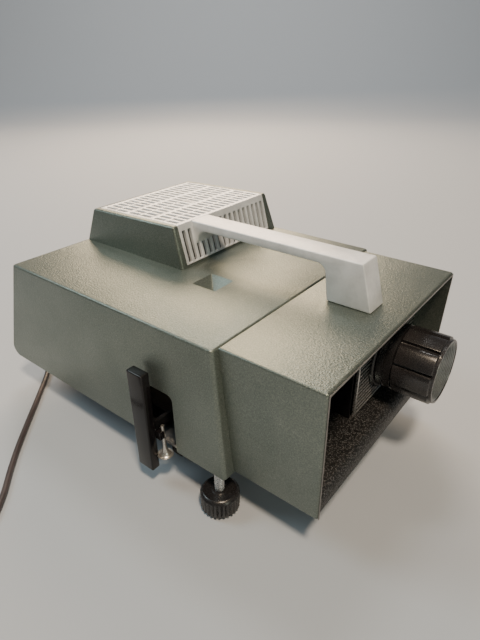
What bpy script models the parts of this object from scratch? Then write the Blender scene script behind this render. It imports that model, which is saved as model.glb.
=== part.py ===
"""Slide projector with a straight magazine channel, a push-pull slide changer and screw feet.

Metres, +Z up, the lens faces -Y and the changer handle is on the -X side.
Every piece is drawn in a working frame whose Y is zero on the rear top edge of the casing and whose
Z is zero on the table. One parent empty then brings the middle of the footprint to the world origin.
"""
import math

import bmesh
import bpy
from mathutils import Matrix, Vector

# Running gap between neighbouring pieces, and the overrun of every cutter.
GAP = 0.0003
OVERRUN = 0.004

# Casing.
BODY_WIDTH = 0.200
BODY_HEIGHT = 0.100
REAR_LENGTH = 0.2113
FRONT_LENGTH = 0.0727
FLOOR_GAP = 0.0335
WALL = 0.0025
REAR_LEAN = 0.043
SEAM_LEAN = 0.0067
RIM_LEAN = 0.002
STEP_TOP = 0.0056
STEP_BOTTOM = 0.010
FRONT_RISE = 0.0015
EDGE_ROUND = 0.0018
TAIL_RADIUS = 0.009
STEP_FLANGE = 0.012

# Vent hump on the rear casing, with the cast grille and carrying handle on it.
HUMP_LEFT = 0.027
HUMP_INSET = 0.0025
HUMP_LENGTH = 0.118
HUMP_REAR_HEIGHT = 0.0295
HUMP_FRONT_HEIGHT = 0.0325
HUMP_FRONT_SLOPE = 0.0085
HUMP_LEFT_SLOPE = 0.0015
HUMP_RIGHT_SLOPE = 0.005
HUMP_SETBACK = 0.0005
GRILLE_MARGIN = 0.005
SLOT_COLUMNS = 17
SLOT_WIDTH = 0.0034
TOP_BANDS = 3
SLOT_EDGE = 0.0030
SLOT_FRONT_END = 0.0040
BAND_BAR = 0.0042
HALF_BAR = 0.0016
SLOT_END = 0.0046
FRONT_SLOT_TOP = 0.0050
FRONT_SLOT_BOTTOM = 0.0030

HANDLE_OFFSET = 0.0046
HANDLE_WIDTH = 0.0196
HANDLE_DEPTH = 0.0066
HANDLE_DIP = 0.0002
HANDLE_ROOT_SHARE = 0.7
HANDLE_REACH = 0.255
BLOCK_REAR = 0.2312
BLOCK_FRONT = 0.2636
BLOCK_TOP_REAR = 0.2290
HANDLE_FILLET = 0.007
GUSSET_DEPTH = 0.012
GUSSET_LENGTH = 0.011

# Inverted pyramid recess in the top.
RECESS_CENTRE_X = -0.0288
RECESS_CENTRE_Y = -0.1507
RECESS_WIDTH = 0.0215
RECESS_FLOOR = 0.005
RECESS_DEPTH = 0.0085

# Changer opening in the left side.
SIDE_SLOT_REAR = 0.134
SIDE_SLOT_FRONT = 0.174
SIDE_SLOT_DROP = 0.050
SIDE_SLOT_RADIUS = 0.005

# Floors and inner walls.
BASE_THICKNESS = 0.0020
BASE_INSET = 0.0008
BASE_NECK = 0.006
PAN_RISE = 0.0155
PAN_THICKNESS = 0.0020
PAN_SETBACK = 0.0022
CHANNEL_REACH = 0.0468
SHEET = 0.0012
CHANNEL_WALL_DROP = 0.022
CHANNEL_REAR_MARGIN = 0.006
CHANNEL_LEG_INSET = 0.020
DOOR_SLACK = 0.0012
LAMP_VENT_COUNT = 9
LAMP_VENT_WIDTH = 0.004
LAMP_VENT_LENGTH = 0.050

# Optical axis and lens.
AXIS_INSET = 0.0632
AXIS_RISE = 0.050
PLATE_FRONT = 0.2622
PLATE_REACH = 0.0438
PLATE_THICKNESS = 0.0024
RIB_PITCH = 0.0035
RIB_DEPTH = 0.0009
RIB_BORDER = 0.0022
RIB_LAND_SHARE = 0.75
PLATE_TOP_GAP = 0.0015
MOUNT_RADIUS = 0.0212
MOUNT_BORE = 0.0193
MOUNT_FLANGE_RADIUS = 0.0273
MOUNT_FLANGE = 0.0022
MOUNT_REAR = 0.200
BARREL_RADIUS = 0.0190
BARREL_BORE = 0.0150
BARREL_REAR = 0.206
BARREL_SETBACK = 0.0155
COLLAR_RADIUS = 0.0248
RING_RADIUS = 0.0253
RING_RIM_RADIUS = 0.0238
RING_FRONT = 0.3045
RING_LENGTH = 0.0280
RIM_LENGTH = 0.0012
RING_RIBS = 9
RING_GROOVE_DEPTH = 0.0020
RING_GROOVE_SHARE = 0.40
CONE_MOUTH = 0.0222
CONE_THROAT = 0.0150
CONE_SHOULDER = 0.0014
GLASS_RADIUS = 0.0160
GLASS_BULGE = 0.0022
GLASS_EDGE = 0.0030
GLASS_SETBACK = 0.0008

# Slide stage, condensers, lamp and mirror, all on the optical axis.
STAGE_FRONT = 0.1640
STAGE_THICKNESS = 0.0016
STAGE_HALF_WIDTH = 0.031
STAGE_MARGIN = 0.0015
STAGE_WINDOW = 0.0370
CARRIAGE_FRONT = 0.1615
CARRIAGE_THICKNESS = 0.0060
CARRIAGE_HALF_WIDTH = 0.0285
CARRIAGE_HALF_HEIGHT = 0.0275
CARRIAGE_WINDOW = 0.0205
CARRIAGE_SLOT = 0.0028
CARRIAGE_SLOT_HALF = 0.0254
HOLDER_FRONT = 0.1480
HOLDER_REAR = 0.1120
HOLDER_RADIUS = 0.0270
HOLDER_BORE = 0.0243
HOLDER_SHOULDER = 0.0012
HOLDER_FOOT_WIDTH = 0.030
CONDENSER_RADIUS = 0.0240
CONDENSER_BULGE = 0.0075
CONDENSER_EDGE = 0.0028
HEAT_GLASS_PLACE = 0.1040
HEAT_GLASS_SIZE = 0.044
HEAT_GLASS_THICKNESS = 0.003
HEAT_FRAME_WIDTH = 0.052
HEAT_FRAME_THICKNESS = 0.0062
LAMP_PLACE = 0.0800
LAMP_RADIUS = 0.0110
LAMP_NECK_RADIUS = 0.0075
LAMP_NECK = 0.0060
LAMP_TIP = 0.0060
SOCKET_GRIP_SHARE = 0.6
LAMP_CAP_RADIUS = 0.0090
LAMP_CAP_LENGTH = 0.010
SOCKET_RADIUS = 0.0130
SOCKET_FLANGE = 0.0180
SOCKET_FLANGE_THICKNESS = 0.0030
MIRROR_PLACE = 0.0500
MIRROR_RADIUS = 0.0230
MIRROR_CURVE = 0.0380
MIRROR_THICKNESS = 0.0012
MIRROR_POST = 0.0080
HOUSE_HALF_WIDTH = 0.0323
HOUSE_FRONT = 0.1095
HOUSE_REAR = 0.0450
HOUSE_TOP_DROP = 0.0015

# Fan, motor and transformer.
FAN_RADIUS = 0.0300
FAN_HUB_RADIUS = 0.0100
FAN_HUB_LENGTH = 0.0100
FAN_BLADES = 5
FAN_BLADE_THICKNESS = 0.0010
FAN_BLADE_TWIST = math.radians(32)
FAN_PLACE = 0.0270
SHAFT_GRIP_SHARE = 0.7
MOTOR_SHAFT_RADIUS = 0.0015
MOTOR_RADIUS = 0.0170
MOTOR_REAR = 0.0010
MOTOR_FRONT = 0.0230
BRACKET_THICKNESS = 0.0016
BRACKET_WIDTH = 0.030
BRACKET_TOE = 0.012
CORE_INSET = 0.0070
CORE_WIDTH = 0.0175
CORE_FRONT = 0.1080
CORE_REAR = 0.0460
CORE_HEIGHT = 0.052
CORE_LEG = 0.0100
WINDING_PROUD = 0.0034

# Changer.
BAR_STANDOFF = 0.012
BAR_THICKNESS = 0.0072
BAR_REAR = 0.1450
BAR_FRONT = 0.1598
BAR_TOP_DROP = 0.0335
BAR_BELOW = 0.0170
BAR_ROUND = 0.0015
ARM_LIFT = 0.0019
ARM_THICKNESS = 0.0030
RAIL_SHEET = 0.0010
RAIL_LIP = 0.0022
RAIL_LEFT = 0.078
RAIL_LEG = 0.006

# Feet.
FOOT_INSET = 0.0055
FRONT_FOOT_Y = -0.2083
KNOB_RADIUS = 0.01385
KNOB_HEIGHT = 0.0152
KNOB_FLUTES = 14
KNOB_FLUTE_RADIUS = 0.0016
KNOB_DOME = 0.0018
SCREW_RADIUS = 0.0036
SCREW_REACH = 0.014
SCREW_WAY = 0.034
PAD_HEIGHT = 0.0016
PAD_RADIUS = 0.0115
PAD_PIN_RADIUS = 0.0028
PAD_PIN_HEIGHT = 0.0050
BUSH_HALF = 0.0058
BUSH_HEIGHT = 0.010
REAR_FOOT_X = 0.046
REAR_FOOT_Y = 0.004
REAR_FOOT_RADIUS = 0.0110
REAR_FOOT_NECK = 0.0070
REAR_FOOT_PAD = 0.0120
REAR_PAD_SHARE = 0.6

# Rear wall fittings, measured down the leaning wall from its top edge.
LOUVRE_COUNT = 7
LOUVRE_WIDTH = 0.0026
LOUVRE_LENGTH = 0.046
LOUVRE_PITCH = 0.0070
LOUVRE_FIRST = 0.024
LOUVRE_OFFSET = 0.0098
SWITCH_X = -0.030
SWITCH_PLACE = 0.052
SWITCH_WIDTH = 0.0150
SWITCH_LENGTH = 0.0210
SWITCH_FRAME = 0.0022
SWITCH_FRAME_PROUD = 0.0016
SWITCH_DEPTH = 0.0120
ROCKER_PROUD = 0.0030
ROCKER_SLACK = 0.0008
ROCKER_ANGLE = math.radians(7)
GLAND_X = 0.008
GLAND_RISE = 0.02885
GLAND_FLANGE_RADIUS = 0.0085
GLAND_FLANGE = 0.0030
GLAND_NECK_RADIUS = 0.0055
GLAND_TIP_RADIUS = 0.0034
GLAND_LENGTH = 0.030

# Mains lead.
CORD_DIAMETER = 0.0046
COIL_LOOPS = 8
COIL_POINTS = 24
COIL_OUTER_RADIUS = 0.0385
COIL_CLEARANCE = 0.0007
COIL_CUT_SHARE = 0.2
COIL_PLACE = (-0.290, -0.066)
LEAD_ROUTE = (
    (0.0060, 0.0990, 0.0740), (-0.0040, 0.1150, 0.0530), (-0.0190, 0.1150, 0.0290),
    (-0.0340, 0.0950, 0.0110), (-0.0490, 0.0680, 0.0042), (-0.0770, 0.0316, 0.0028),
    (-0.1030, 0.0055, 0.0024), (-0.1270, -0.0175, 0.0024), (-0.1510, -0.0410, 0.0024),
    (-0.1680, -0.0590, 0.0024), (-0.1875, -0.0810, 0.0024), (-0.2070, -0.0970, 0.0024),
    (-0.2350, -0.1050, 0.0024), (-0.2620, -0.1050, 0.0024))
TAIL_ROUTE = ((-0.3110, -0.1030, 0.0062), (-0.3340, -0.0950, 0.0027), (-0.3500, -0.0740, 0.0030),
              (-0.3560, -0.0500, 0.0090))
PLUG_PLACE = (-0.356, -0.020)
PLUG_RADIUS = 0.0175
PLUG_BODY_LENGTH = 0.030
PLUG_NECK_RADIUS = 0.0050
PLUG_WAIST_RADIUS = 0.0110
PLUG_FACE_SHARE = 0.55
PLUG_NECK_LENGTH = 0.016
PLUG_PIN_RADIUS = 0.0024
PLUG_PIN_LENGTH = 0.019
PLUG_PIN_SPACING = 0.019

# Derived levels and half widths.
TOP = FLOOR_GAP + BODY_HEIGHT
HALF = BODY_WIDTH / 2
AXIS_X = HALF - AXIS_INSET
PLATE_LEFT = AXIS_X - PLATE_REACH
CHANNEL_EDGE_X = AXIS_X - CHANNEL_REACH
HUMP_RIGHT = HALF - HUMP_INSET
CORE_LEFT = HALF - CORE_INSET - CORE_WIDTH
LOUVRE_X = AXIS_X + LOUVRE_OFFSET
SEAM_Y = -REAR_LENGTH
RIM_Y = -(REAR_LENGTH + FRONT_LENGTH)
AXIS_Z = FLOOR_GAP + AXIS_RISE
PAN_TOP = FLOOR_GAP + PAN_RISE
BASE_TOP = FLOOR_GAP + BASE_INSET + BASE_THICKNESS
FRONT_HALF = HALF - STEP_TOP
FRONT_FOOT_X = HALF - FOOT_INSET
BAR_OUTER = HALF + BAR_STANDOFF
FRONT_HALF_LOW = HALF - STEP_BOTTOM
LENS_TIP = RING_FRONT + RIM_LENGTH
RING_REAR = RING_FRONT - RING_LENGTH
BARREL_FRONT = RING_FRONT - BARREL_SETBACK
WALL_RUN = math.hypot(BODY_HEIGHT, REAR_LEAN)
WALL_DOWN = Vector((0, REAR_LEAN / WALL_RUN, -BODY_HEIGHT / WALL_RUN))
WALL_OUT = Vector((0, BODY_HEIGHT / WALL_RUN, REAR_LEAN / WALL_RUN))
GLAND_PLACE = WALL_RUN - GLAND_RISE
GLAND_TIP_Y = (WALL_DOWN * GLAND_PLACE + WALL_OUT * GLAND_LENGTH).y + GLAND_TIP_RADIUS * WALL_OUT.z
MIDDLE_X = (FRONT_FOOT_X + KNOB_RADIUS - BAR_OUTER) / 2
MIDDLE_Y = (GLAND_TIP_Y - LENS_TIP) / 2
CORD_RADIUS = CORD_DIAMETER / 2
FLANGE_HALF = FRONT_HALF_LOW - STEP_FLANGE / 2
PLACES = {}


def drop_share(z):
    """How far a level lies below the casing's top, as a share of the casing's height."""
    return (TOP - z) / BODY_HEIGHT


def rear_y(z):
    return REAR_LEAN * drop_share(z)


def seam_y(z):
    return SEAM_Y - SEAM_LEAN * drop_share(z)


def rim_y(z):
    return RIM_Y + RIM_LEAN * drop_share(z)


def front_half(z):
    return FRONT_HALF - (STEP_BOTTOM - STEP_TOP) * drop_share(z)


# Scene and collections.
for old in list(bpy.data.objects):
    bpy.data.objects.remove(old, do_unlink=True)

parts = bpy.data.collections.new("slide_projector")
bpy.context.scene.collection.children.link(parts)
cutters = bpy.data.collections.new("cutters")
bpy.context.scene.collection.children.link(cutters)

frame_empty = bpy.data.objects.new("projector_frame", None)
frame_empty.location = (-MIDDLE_X, -MIDDLE_Y, 0)
parts.objects.link(frame_empty)

MATERIALS = {
    "enamel": ((0.36, 0.38, 0.33), 0.45, 0.35),
    "cast_aluminium": ((0.78, 0.77, 0.75), 0.32, 1.0),
    "black_sheet": ((0.02, 0.02, 0.022), 0.55, 0.0),
    "black_plastic": ((0.015, 0.015, 0.017), 0.22, 0.0),
    "rubber": ((0.02, 0.02, 0.02), 0.85, 0.0),
    "steel": ((0.62, 0.63, 0.65), 0.25, 1.0),
    "zinc_sheet": ((0.55, 0.56, 0.58), 0.45, 1.0),
    "glass": ((0.85, 0.92, 0.95), 0.02, 0.0),
    "copper": ((0.70, 0.32, 0.16), 0.35, 1.0),
    "ceramic": ((0.86, 0.83, 0.76), 0.5, 0.0),
    "cord_sheath": ((0.03, 0.03, 0.035), 0.6, 0.0),
}


def material(name):
    made = bpy.data.materials.get(name)
    if made is None:
        colour, roughness, metallic = MATERIALS[name]
        made = bpy.data.materials.new(name)
        made.use_nodes = True
        shader = made.node_tree.nodes["Principled BSDF"]
        shader.inputs["Base Color"].default_value = (*colour, 1)
        shader.inputs["Roughness"].default_value = roughness
        shader.inputs["Metallic"].default_value = metallic
    return made


def make_object(name, mesh, collection=None):
    made = bpy.data.objects.new(name, mesh)
    (collection or cutters).objects.link(made)
    return made


def from_bmesh(name, bm):
    bmesh.ops.recalc_face_normals(bm, faces=bm.faces)
    mesh = bpy.data.meshes.new(name)
    bm.to_mesh(mesh)
    bm.free()
    return make_object(name, mesh)


def bake(piece):
    """Replace a piece's data by its evaluated mesh, welded, with its transform applied."""
    graph = bpy.context.evaluated_depsgraph_get()
    mesh = bpy.data.meshes.new_from_object(piece.evaluated_get(graph))
    mesh.transform(piece.matrix_world)
    bm = bmesh.new()
    bm.from_mesh(mesh)
    bmesh.ops.remove_doubles(bm, verts=bm.verts, dist=GAP / 30)
    bm.to_mesh(mesh)
    bm.free()
    name = piece.name
    bpy.data.objects.remove(piece, do_unlink=True)
    return make_object(name, mesh)


def block(name, low, high):
    """A box between two corners."""
    low, high = Vector(low), Vector(high)
    bm = bmesh.new()
    bmesh.ops.create_cube(bm, size=1)
    place = Matrix.Translation((low + high) / 2) @ Matrix.Diagonal((*(high - low), 1))
    bmesh.ops.transform(bm, matrix=place, verts=bm.verts)
    return from_bmesh(name, bm)


def tapered(name, corner):
    """A cube whose corners are placed by corner(side_x, side_y, side_z), each side -1 or 1."""
    bm = bmesh.new()
    bmesh.ops.create_cube(bm, size=2)
    for vert in bm.verts:
        vert.co = Vector(corner(round(vert.co.x), round(vert.co.y), round(vert.co.z)))
    return from_bmesh(name, bm)


def cylinder(name, radius, start, end, sides=32, end_radius=None):
    """A cylinder or cone frustum from one point to another."""
    start, end = Vector(start), Vector(end)
    run = end - start
    bm = bmesh.new()
    bmesh.ops.create_cone(bm, cap_ends=True, segments=sides, radius1=radius,
                          radius2=radius if end_radius is None else end_radius, depth=run.length)
    turn = Vector((0, 0, 1)).rotation_difference(run).to_matrix().to_4x4()
    bmesh.ops.transform(bm, matrix=Matrix.Translation((start + end) / 2) @ turn, verts=bm.verts)
    return from_bmesh(name, bm)


def plate(name, outline, thickness, matrix):
    """A flat outline in its own XY plane, given half its thickness each way, then placed."""
    curve = bpy.data.curves.new(name, "CURVE")
    curve.dimensions = "2D"
    curve.fill_mode = "BOTH"
    curve.extrude = thickness / 2
    spline = curve.splines.new("POLY")
    spline.points.add(len(outline) - 1)
    for point, (u, v) in zip(spline.points, outline):
        point.co = (u, v, 0, 1)
    spline.use_cyclic_u = True
    made = make_object(name, curve)
    made.matrix_world = matrix
    bpy.context.view_layer.update()
    return bake(made)


def side_plate(name, outline_yz, x_low, x_high):
    """An outline of (y, z) points pulled out along X."""
    matrix = Matrix(((0, 0, 1, (x_low + x_high) / 2), (1, 0, 0, 0), (0, 1, 0, 0), (0, 0, 0, 1)))
    return plate(name, outline_yz, x_high - x_low, matrix)


def level_plate(name, outline_xy, z_low, z_high):
    """An outline of (x, y) points pulled up along Z."""
    return plate(name, outline_xy, z_high - z_low, Matrix.Translation((0, 0, (z_low + z_high) / 2)))


def turned(name, profile, place, direction, sides=48):
    """A closed or axis-to-axis profile of (radius, height), turned about an axis through place.

    The profile runs down its outer side: its heights fall where its radius is greatest.
    """
    mesh = bpy.data.meshes.new(name)
    points = [(radius, 0, height) for radius, height in profile]
    closed = min(radius for radius, _ in profile) > 0
    edges = [(i, i + 1) for i in range(len(points) - 1)]
    if closed:
        edges.append((len(points) - 1, 0))
    mesh.from_pydata(points, edges, [])
    made = make_object(name, mesh)
    screw = made.modifiers.new("turn", "SCREW")
    screw.axis = "Z"
    screw.steps = sides
    screw.render_steps = sides
    screw.use_merge_vertices = True
    screw.merge_threshold = GAP / 30
    screw.use_normal_calculate = True
    turn = Vector((0, 0, 1)).rotation_difference(Vector(direction)).to_matrix().to_4x4()
    made.matrix_world = Matrix.Translation(place) @ turn
    bpy.context.view_layer.update()
    made = bake(made)
    bm = bmesh.new()
    bm.from_mesh(made.data)
    bmesh.ops.recalc_face_normals(bm, faces=bm.faces)
    bm.to_mesh(made.data)
    bm.free()
    return made


def combine(piece, others, operation):
    """A Boolean of a piece with a list of others, applied, and the others removed."""
    for other in others:
        modifier = piece.modifiers.new(operation.lower(), "BOOLEAN")
        modifier.operation = operation
        modifier.solver = "EXACT"
        modifier.object = other
        piece = bake_boolean(piece, other)
    return piece


def bake_boolean(piece, other):
    bpy.context.view_layer.update()
    made = bake(piece)
    bpy.data.objects.remove(other, do_unlink=True)
    return made


def cut(piece, *others):
    return combine(piece, others, "DIFFERENCE")


def join(piece, *others):
    return combine(piece, others, "UNION")


def keep_common(piece, *others):
    return combine(piece, others, "INTERSECT")


def together(name, pieces):
    """Separate solids held in one object, such as a row of cutters or a set of screws."""
    bm = bmesh.new()
    for piece in pieces:
        bm.from_mesh(piece.data)
        bpy.data.objects.remove(piece, do_unlink=True)
    return from_bmesh(name, bm)


def bevel(piece, width, segments=2, angle=math.radians(28)):
    modifier = piece.modifiers.new("round", "BEVEL")
    modifier.width = width
    modifier.segments = segments
    modifier.limit_method = "ANGLE"
    modifier.angle_limit = angle
    modifier.use_clamp_overlap = True
    bpy.context.view_layer.update()
    return bake(piece)


def finish(piece, name, material_name, pivot=None, smooth=True):
    """Move a piece to the parts collection under its node name, its origin on its pivot."""
    piece.name = name
    piece.data.name = name
    piece.data.materials.clear()
    piece.data.materials.append(material(material_name))
    if smooth:
        piece.data.shade_smooth()
        piece.data.set_sharp_from_angle(angle=math.radians(35))
    cutters.objects.unlink(piece)
    parts.objects.link(piece)
    piece.parent = pivot or frame_empty
    if pivot:
        piece.data.transform(Matrix.Translation(-PLACES[pivot.name]))
    return piece


def pivot_at(name, location, parent=None):
    """An empty on a joint's axis, placed in the working frame."""
    made = bpy.data.objects.new(name, None)
    start = PLACES[parent.name] if parent else Vector((0, 0, 0))
    made.location = Vector(location) - start
    made.parent = parent or frame_empty
    PLACES[name] = Vector(location)
    parts.objects.link(made)
    return made


def arc(centre, radius, start, end, steps):
    """Points on an arc in a plane, by angle in degrees."""
    points = []
    for step in range(steps + 1):
        angle = math.radians(start + (end - start) * step / steps)
        points.append((centre[0] + radius * math.cos(angle), centre[1] + radius * math.sin(angle)))
    return points


# Casings.
def hump_corner(inset, floor_z):
    """Corners of the vent hump, moved in by a wall."""
    def corner(side_x, side_y, side_z):
        up = side_z > 0
        if side_y > 0:
            height = HUMP_REAR_HEIGHT - inset
            z = TOP + height if up else floor_z
            y = rear_y(z) - HUMP_SETBACK - inset
        else:
            height = HUMP_FRONT_HEIGHT - inset
            z = TOP + height if up else floor_z
            y = -HUMP_LENGTH + HUMP_FRONT_SLOPE * (z - TOP) / HUMP_FRONT_HEIGHT + inset
        rise = (z - TOP) / HUMP_FRONT_HEIGHT
        if side_x < 0:
            x = -HUMP_LEFT + HUMP_LEFT_SLOPE * rise + inset
        else:
            x = HUMP_RIGHT - HUMP_RIGHT_SLOPE * rise - inset
        return x, y, z
    return corner


GRILLE_LEFT = -HUMP_LEFT + HUMP_LEFT_SLOPE + GRILLE_MARGIN
GRILLE_RIGHT = HUMP_RIGHT - HUMP_RIGHT_SLOPE - GRILLE_MARGIN


def hump_top_z(y):
    """Level of the hump's sloping top above a place along Y."""
    rear_edge = rear_y(TOP + HUMP_REAR_HEIGHT) - HUMP_SETBACK
    front_edge = -HUMP_LENGTH + HUMP_FRONT_SLOPE
    share = (rear_edge - y) / (rear_edge - front_edge)
    return TOP + HUMP_REAR_HEIGHT + (HUMP_FRONT_HEIGHT - HUMP_REAR_HEIGHT) * share


def hump_shell_outline(depth, thickness, toe):
    """Outline of a bent sheet that follows the hump's top and front at a depth below them."""
    rear_top_y = rear_y(TOP + HUMP_REAR_HEIGHT) - HUMP_SETBACK
    front_top_y = -HUMP_LENGTH + HUMP_FRONT_SLOPE
    low_z = TOP + toe
    low_y = -HUMP_LENGTH + HUMP_FRONT_SLOPE * toe / HUMP_FRONT_HEIGHT
    rear_end = rear_top_y - WALL - GAP
    outer = [(rear_end, hump_top_z(rear_end) - depth),
             (front_top_y + depth, TOP + HUMP_FRONT_HEIGHT - depth), (low_y + depth, low_z)]
    below = depth + thickness
    inner = [(low_y + below, low_z), (front_top_y + below, TOP + HUMP_FRONT_HEIGHT - below),
             (rear_end, hump_top_z(rear_end) - below)]
    return outer + inner


def make_rear_housing():
    """Rear casing: leaning rear wall, step flange at the seam, vent hump and changer opening."""
    low = FLOOR_GAP
    lean = math.degrees(math.atan2(BODY_HEIGHT, -REAR_LEAN))
    tail = math.radians(180 - lean) / 2
    tail_run = TAIL_RADIUS / math.tan(tail)
    centre = (REAR_LEAN - tail_run, low + TAIL_RADIUS)
    outline = [(0, TOP), (SEAM_Y, TOP), (seam_y(low), low)]
    outline += arc(centre, TAIL_RADIUS, -90, lean - 90, 5)
    shell = bevel(side_plate("rear_housing", outline, -HALF, HALF), EDGE_ROUND)
    hump = bevel(tapered("hump", hump_corner(0, TOP - OVERRUN)), EDGE_ROUND)
    shell = join(shell, hump)

    recess_body = tapered("recess_body", recess_corner(WALL))
    inner_top = TOP - WALL
    under = low - OVERRUN
    inner_low_y = rear_y(under) - WALL
    inner = [(-WALL, inner_top), (SEAM_Y + WALL, inner_top), (seam_y(under) + WALL, under),
             (inner_low_y, under)]
    hollow = side_plate("hollow", inner, -HALF + WALL, HALF - WALL)
    hollow = cut(hollow, recess_body)
    hump_hollow = tapered("hump_hollow", hump_corner(WALL, inner_top - OVERRUN / 2))
    shell = cut(shell, hollow, hump_hollow)

    doorway = block("doorway", (-FLANGE_HALF, seam_y(low) - OVERRUN, low - OVERRUN),
                    (FLANGE_HALF, SEAM_Y + OVERRUN, TOP - STEP_FLANGE))
    for side in (-1, 1):
        shell = cut(shell, upright("screw_way", SCREW_RADIUS + 2 * GAP, side * FRONT_FOOT_X, FRONT_FOOT_Y,
                                   low - OVERRUN, low + SCREW_WAY, 24))
    recess = tapered("recess", recess_corner(0))
    grille_cut = side_plate("grille_cut", grille_cut_outline(), GRILLE_LEFT - GAP, GRILLE_RIGHT + GAP)
    corner_z = TOP - SIDE_SLOT_DROP - SIDE_SLOT_RADIUS
    slot = [(-SIDE_SLOT_REAR, low - OVERRUN), (-SIDE_SLOT_FRONT, low - OVERRUN)]
    slot += arc((-SIDE_SLOT_FRONT + SIDE_SLOT_RADIUS, corner_z), SIDE_SLOT_RADIUS, 180, 90, 4)
    slot += arc((-SIDE_SLOT_REAR - SIDE_SLOT_RADIUS, corner_z), SIDE_SLOT_RADIUS, 90, 0, 4)
    side_slot = side_plate("side_slot", slot, -HALF - OVERRUN, -HALF + WALL + OVERRUN / 2)
    shell = cut(shell, doorway, recess, grille_cut, side_slot)
    switch_hole = wall_block("switch_hole", SWITCH_X, SWITCH_PLACE, SWITCH_WIDTH / 2 + GAP,
                             SWITCH_LENGTH / 2 + GAP, -WALL - OVERRUN, OVERRUN)
    shell = cut(shell, together("louvres", louvre_blocks()), switch_hole)
    shell = cut(shell, gland_cylinder("gland_hole", GLAND_NECK_RADIUS + GAP, -WALL - OVERRUN, OVERRUN))
    return finish(shell, "rear_housing", "enamel")


def recess_corner(wall):
    """Corners of the inverted pyramid recess, grown by a wall for the pocket under the top."""
    def corner(side_x, side_y, side_z):
        if side_z > 0:
            overrun = OVERRUN / RECESS_DEPTH * (RECESS_WIDTH - RECESS_FLOOR) / 2
            half = RECESS_WIDTH / 2 + overrun + wall
            z = TOP + OVERRUN
        else:
            half = RECESS_FLOOR / 2 + wall
            z = TOP - RECESS_DEPTH - wall
        return RECESS_CENTRE_X + side_x * half, RECESS_CENTRE_Y + side_y * half, z
    return corner


def grille_cut_outline():
    """Outline that opens the hump's top and front for the grille, leaving its rear wall."""
    rear_top_y = rear_y(TOP + HUMP_REAR_HEIGHT) - HUMP_SETBACK
    front_top_y = -HUMP_LENGTH + HUMP_FRONT_SLOPE
    high = TOP + HUMP_FRONT_HEIGHT + OVERRUN
    toe = FRONT_SLOT_BOTTOM / 2
    low_y = -HUMP_LENGTH + HUMP_FRONT_SLOPE * toe / HUMP_FRONT_HEIGHT
    inside = WALL + GAP
    return [(rear_top_y - WALL, high), (front_top_y - OVERRUN, high), (low_y - OVERRUN, TOP + toe),
            (low_y + inside, TOP + toe), (front_top_y + inside, TOP + HUMP_FRONT_HEIGHT - inside),
            (rear_top_y - WALL, TOP + HUMP_REAR_HEIGHT - inside)]


# Leaning rear wall: a frame whose X runs along the wall, Y up the wall and Z straight out of it.
def wall_matrix(x, down):
    """Frame on the leaning rear wall at x, a distance down from its top edge."""
    place = Vector((x, 0, TOP)) + WALL_DOWN * down
    columns = (Vector((-1, 0, 0)), -WALL_DOWN, WALL_OUT)
    rotation = Matrix(columns).transposed().to_4x4()
    return Matrix.Translation(place) @ rotation


def wall_block(name, x, down, half_x, half_y, low, high):
    piece = block(name, (-half_x, -half_y, low), (half_x, half_y, high))
    piece.data.transform(wall_matrix(x, down))
    return piece


def gland_cylinder(name, radius, low, high, sides=24):
    piece = cylinder(name, radius, (0, 0, low), (0, 0, high), sides)
    piece.data.transform(wall_matrix(GLAND_X, GLAND_PLACE))
    return piece


def louvre_blocks():
    """Cooling slots in the rear wall, behind the fan."""
    made = []
    for index in range(LOUVRE_COUNT):
        down = LOUVRE_FIRST + LOUVRE_PITCH * index
        made.append(wall_block("louvre", LOUVRE_X, down, LOUVRE_LENGTH / 2, LOUVRE_WIDTH / 2,
                               -WALL - OVERRUN, OVERRUN))
    return made


def make_front_housing():
    """Front casing: a tapering hood open in front, behind and below."""
    low = FLOOR_GAP + FRONT_RISE

    def corner(inset, bottom, ahead, behind):
        def place(side_x, side_y, side_z):
            z = TOP - inset if side_z > 0 else bottom
            half = front_half(z) - inset
            y = seam_y(z) - GAP + behind if side_y > 0 else rim_y(z) - ahead
            return side_x * half, y, z
        return place

    hood = bevel(tapered("front_housing", corner(0, low, 0, 0)), EDGE_ROUND)
    hollow = tapered("front_hollow", corner(WALL, low - OVERRUN, OVERRUN, OVERRUN))
    return finish(cut(hood, hollow), "front_housing", "enamel")


def hood_room(name, low_z, high_z, rear, front, slack):
    """The room inside the front casing between two levels, less a slack all round."""
    def place(side_x, side_y, side_z):
        z = high_z if side_z > 0 else low_z
        half = front_half(z) - WALL - slack
        return side_x * half, rear if side_y > 0 else front, z
    return tapered(name, place)


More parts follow.
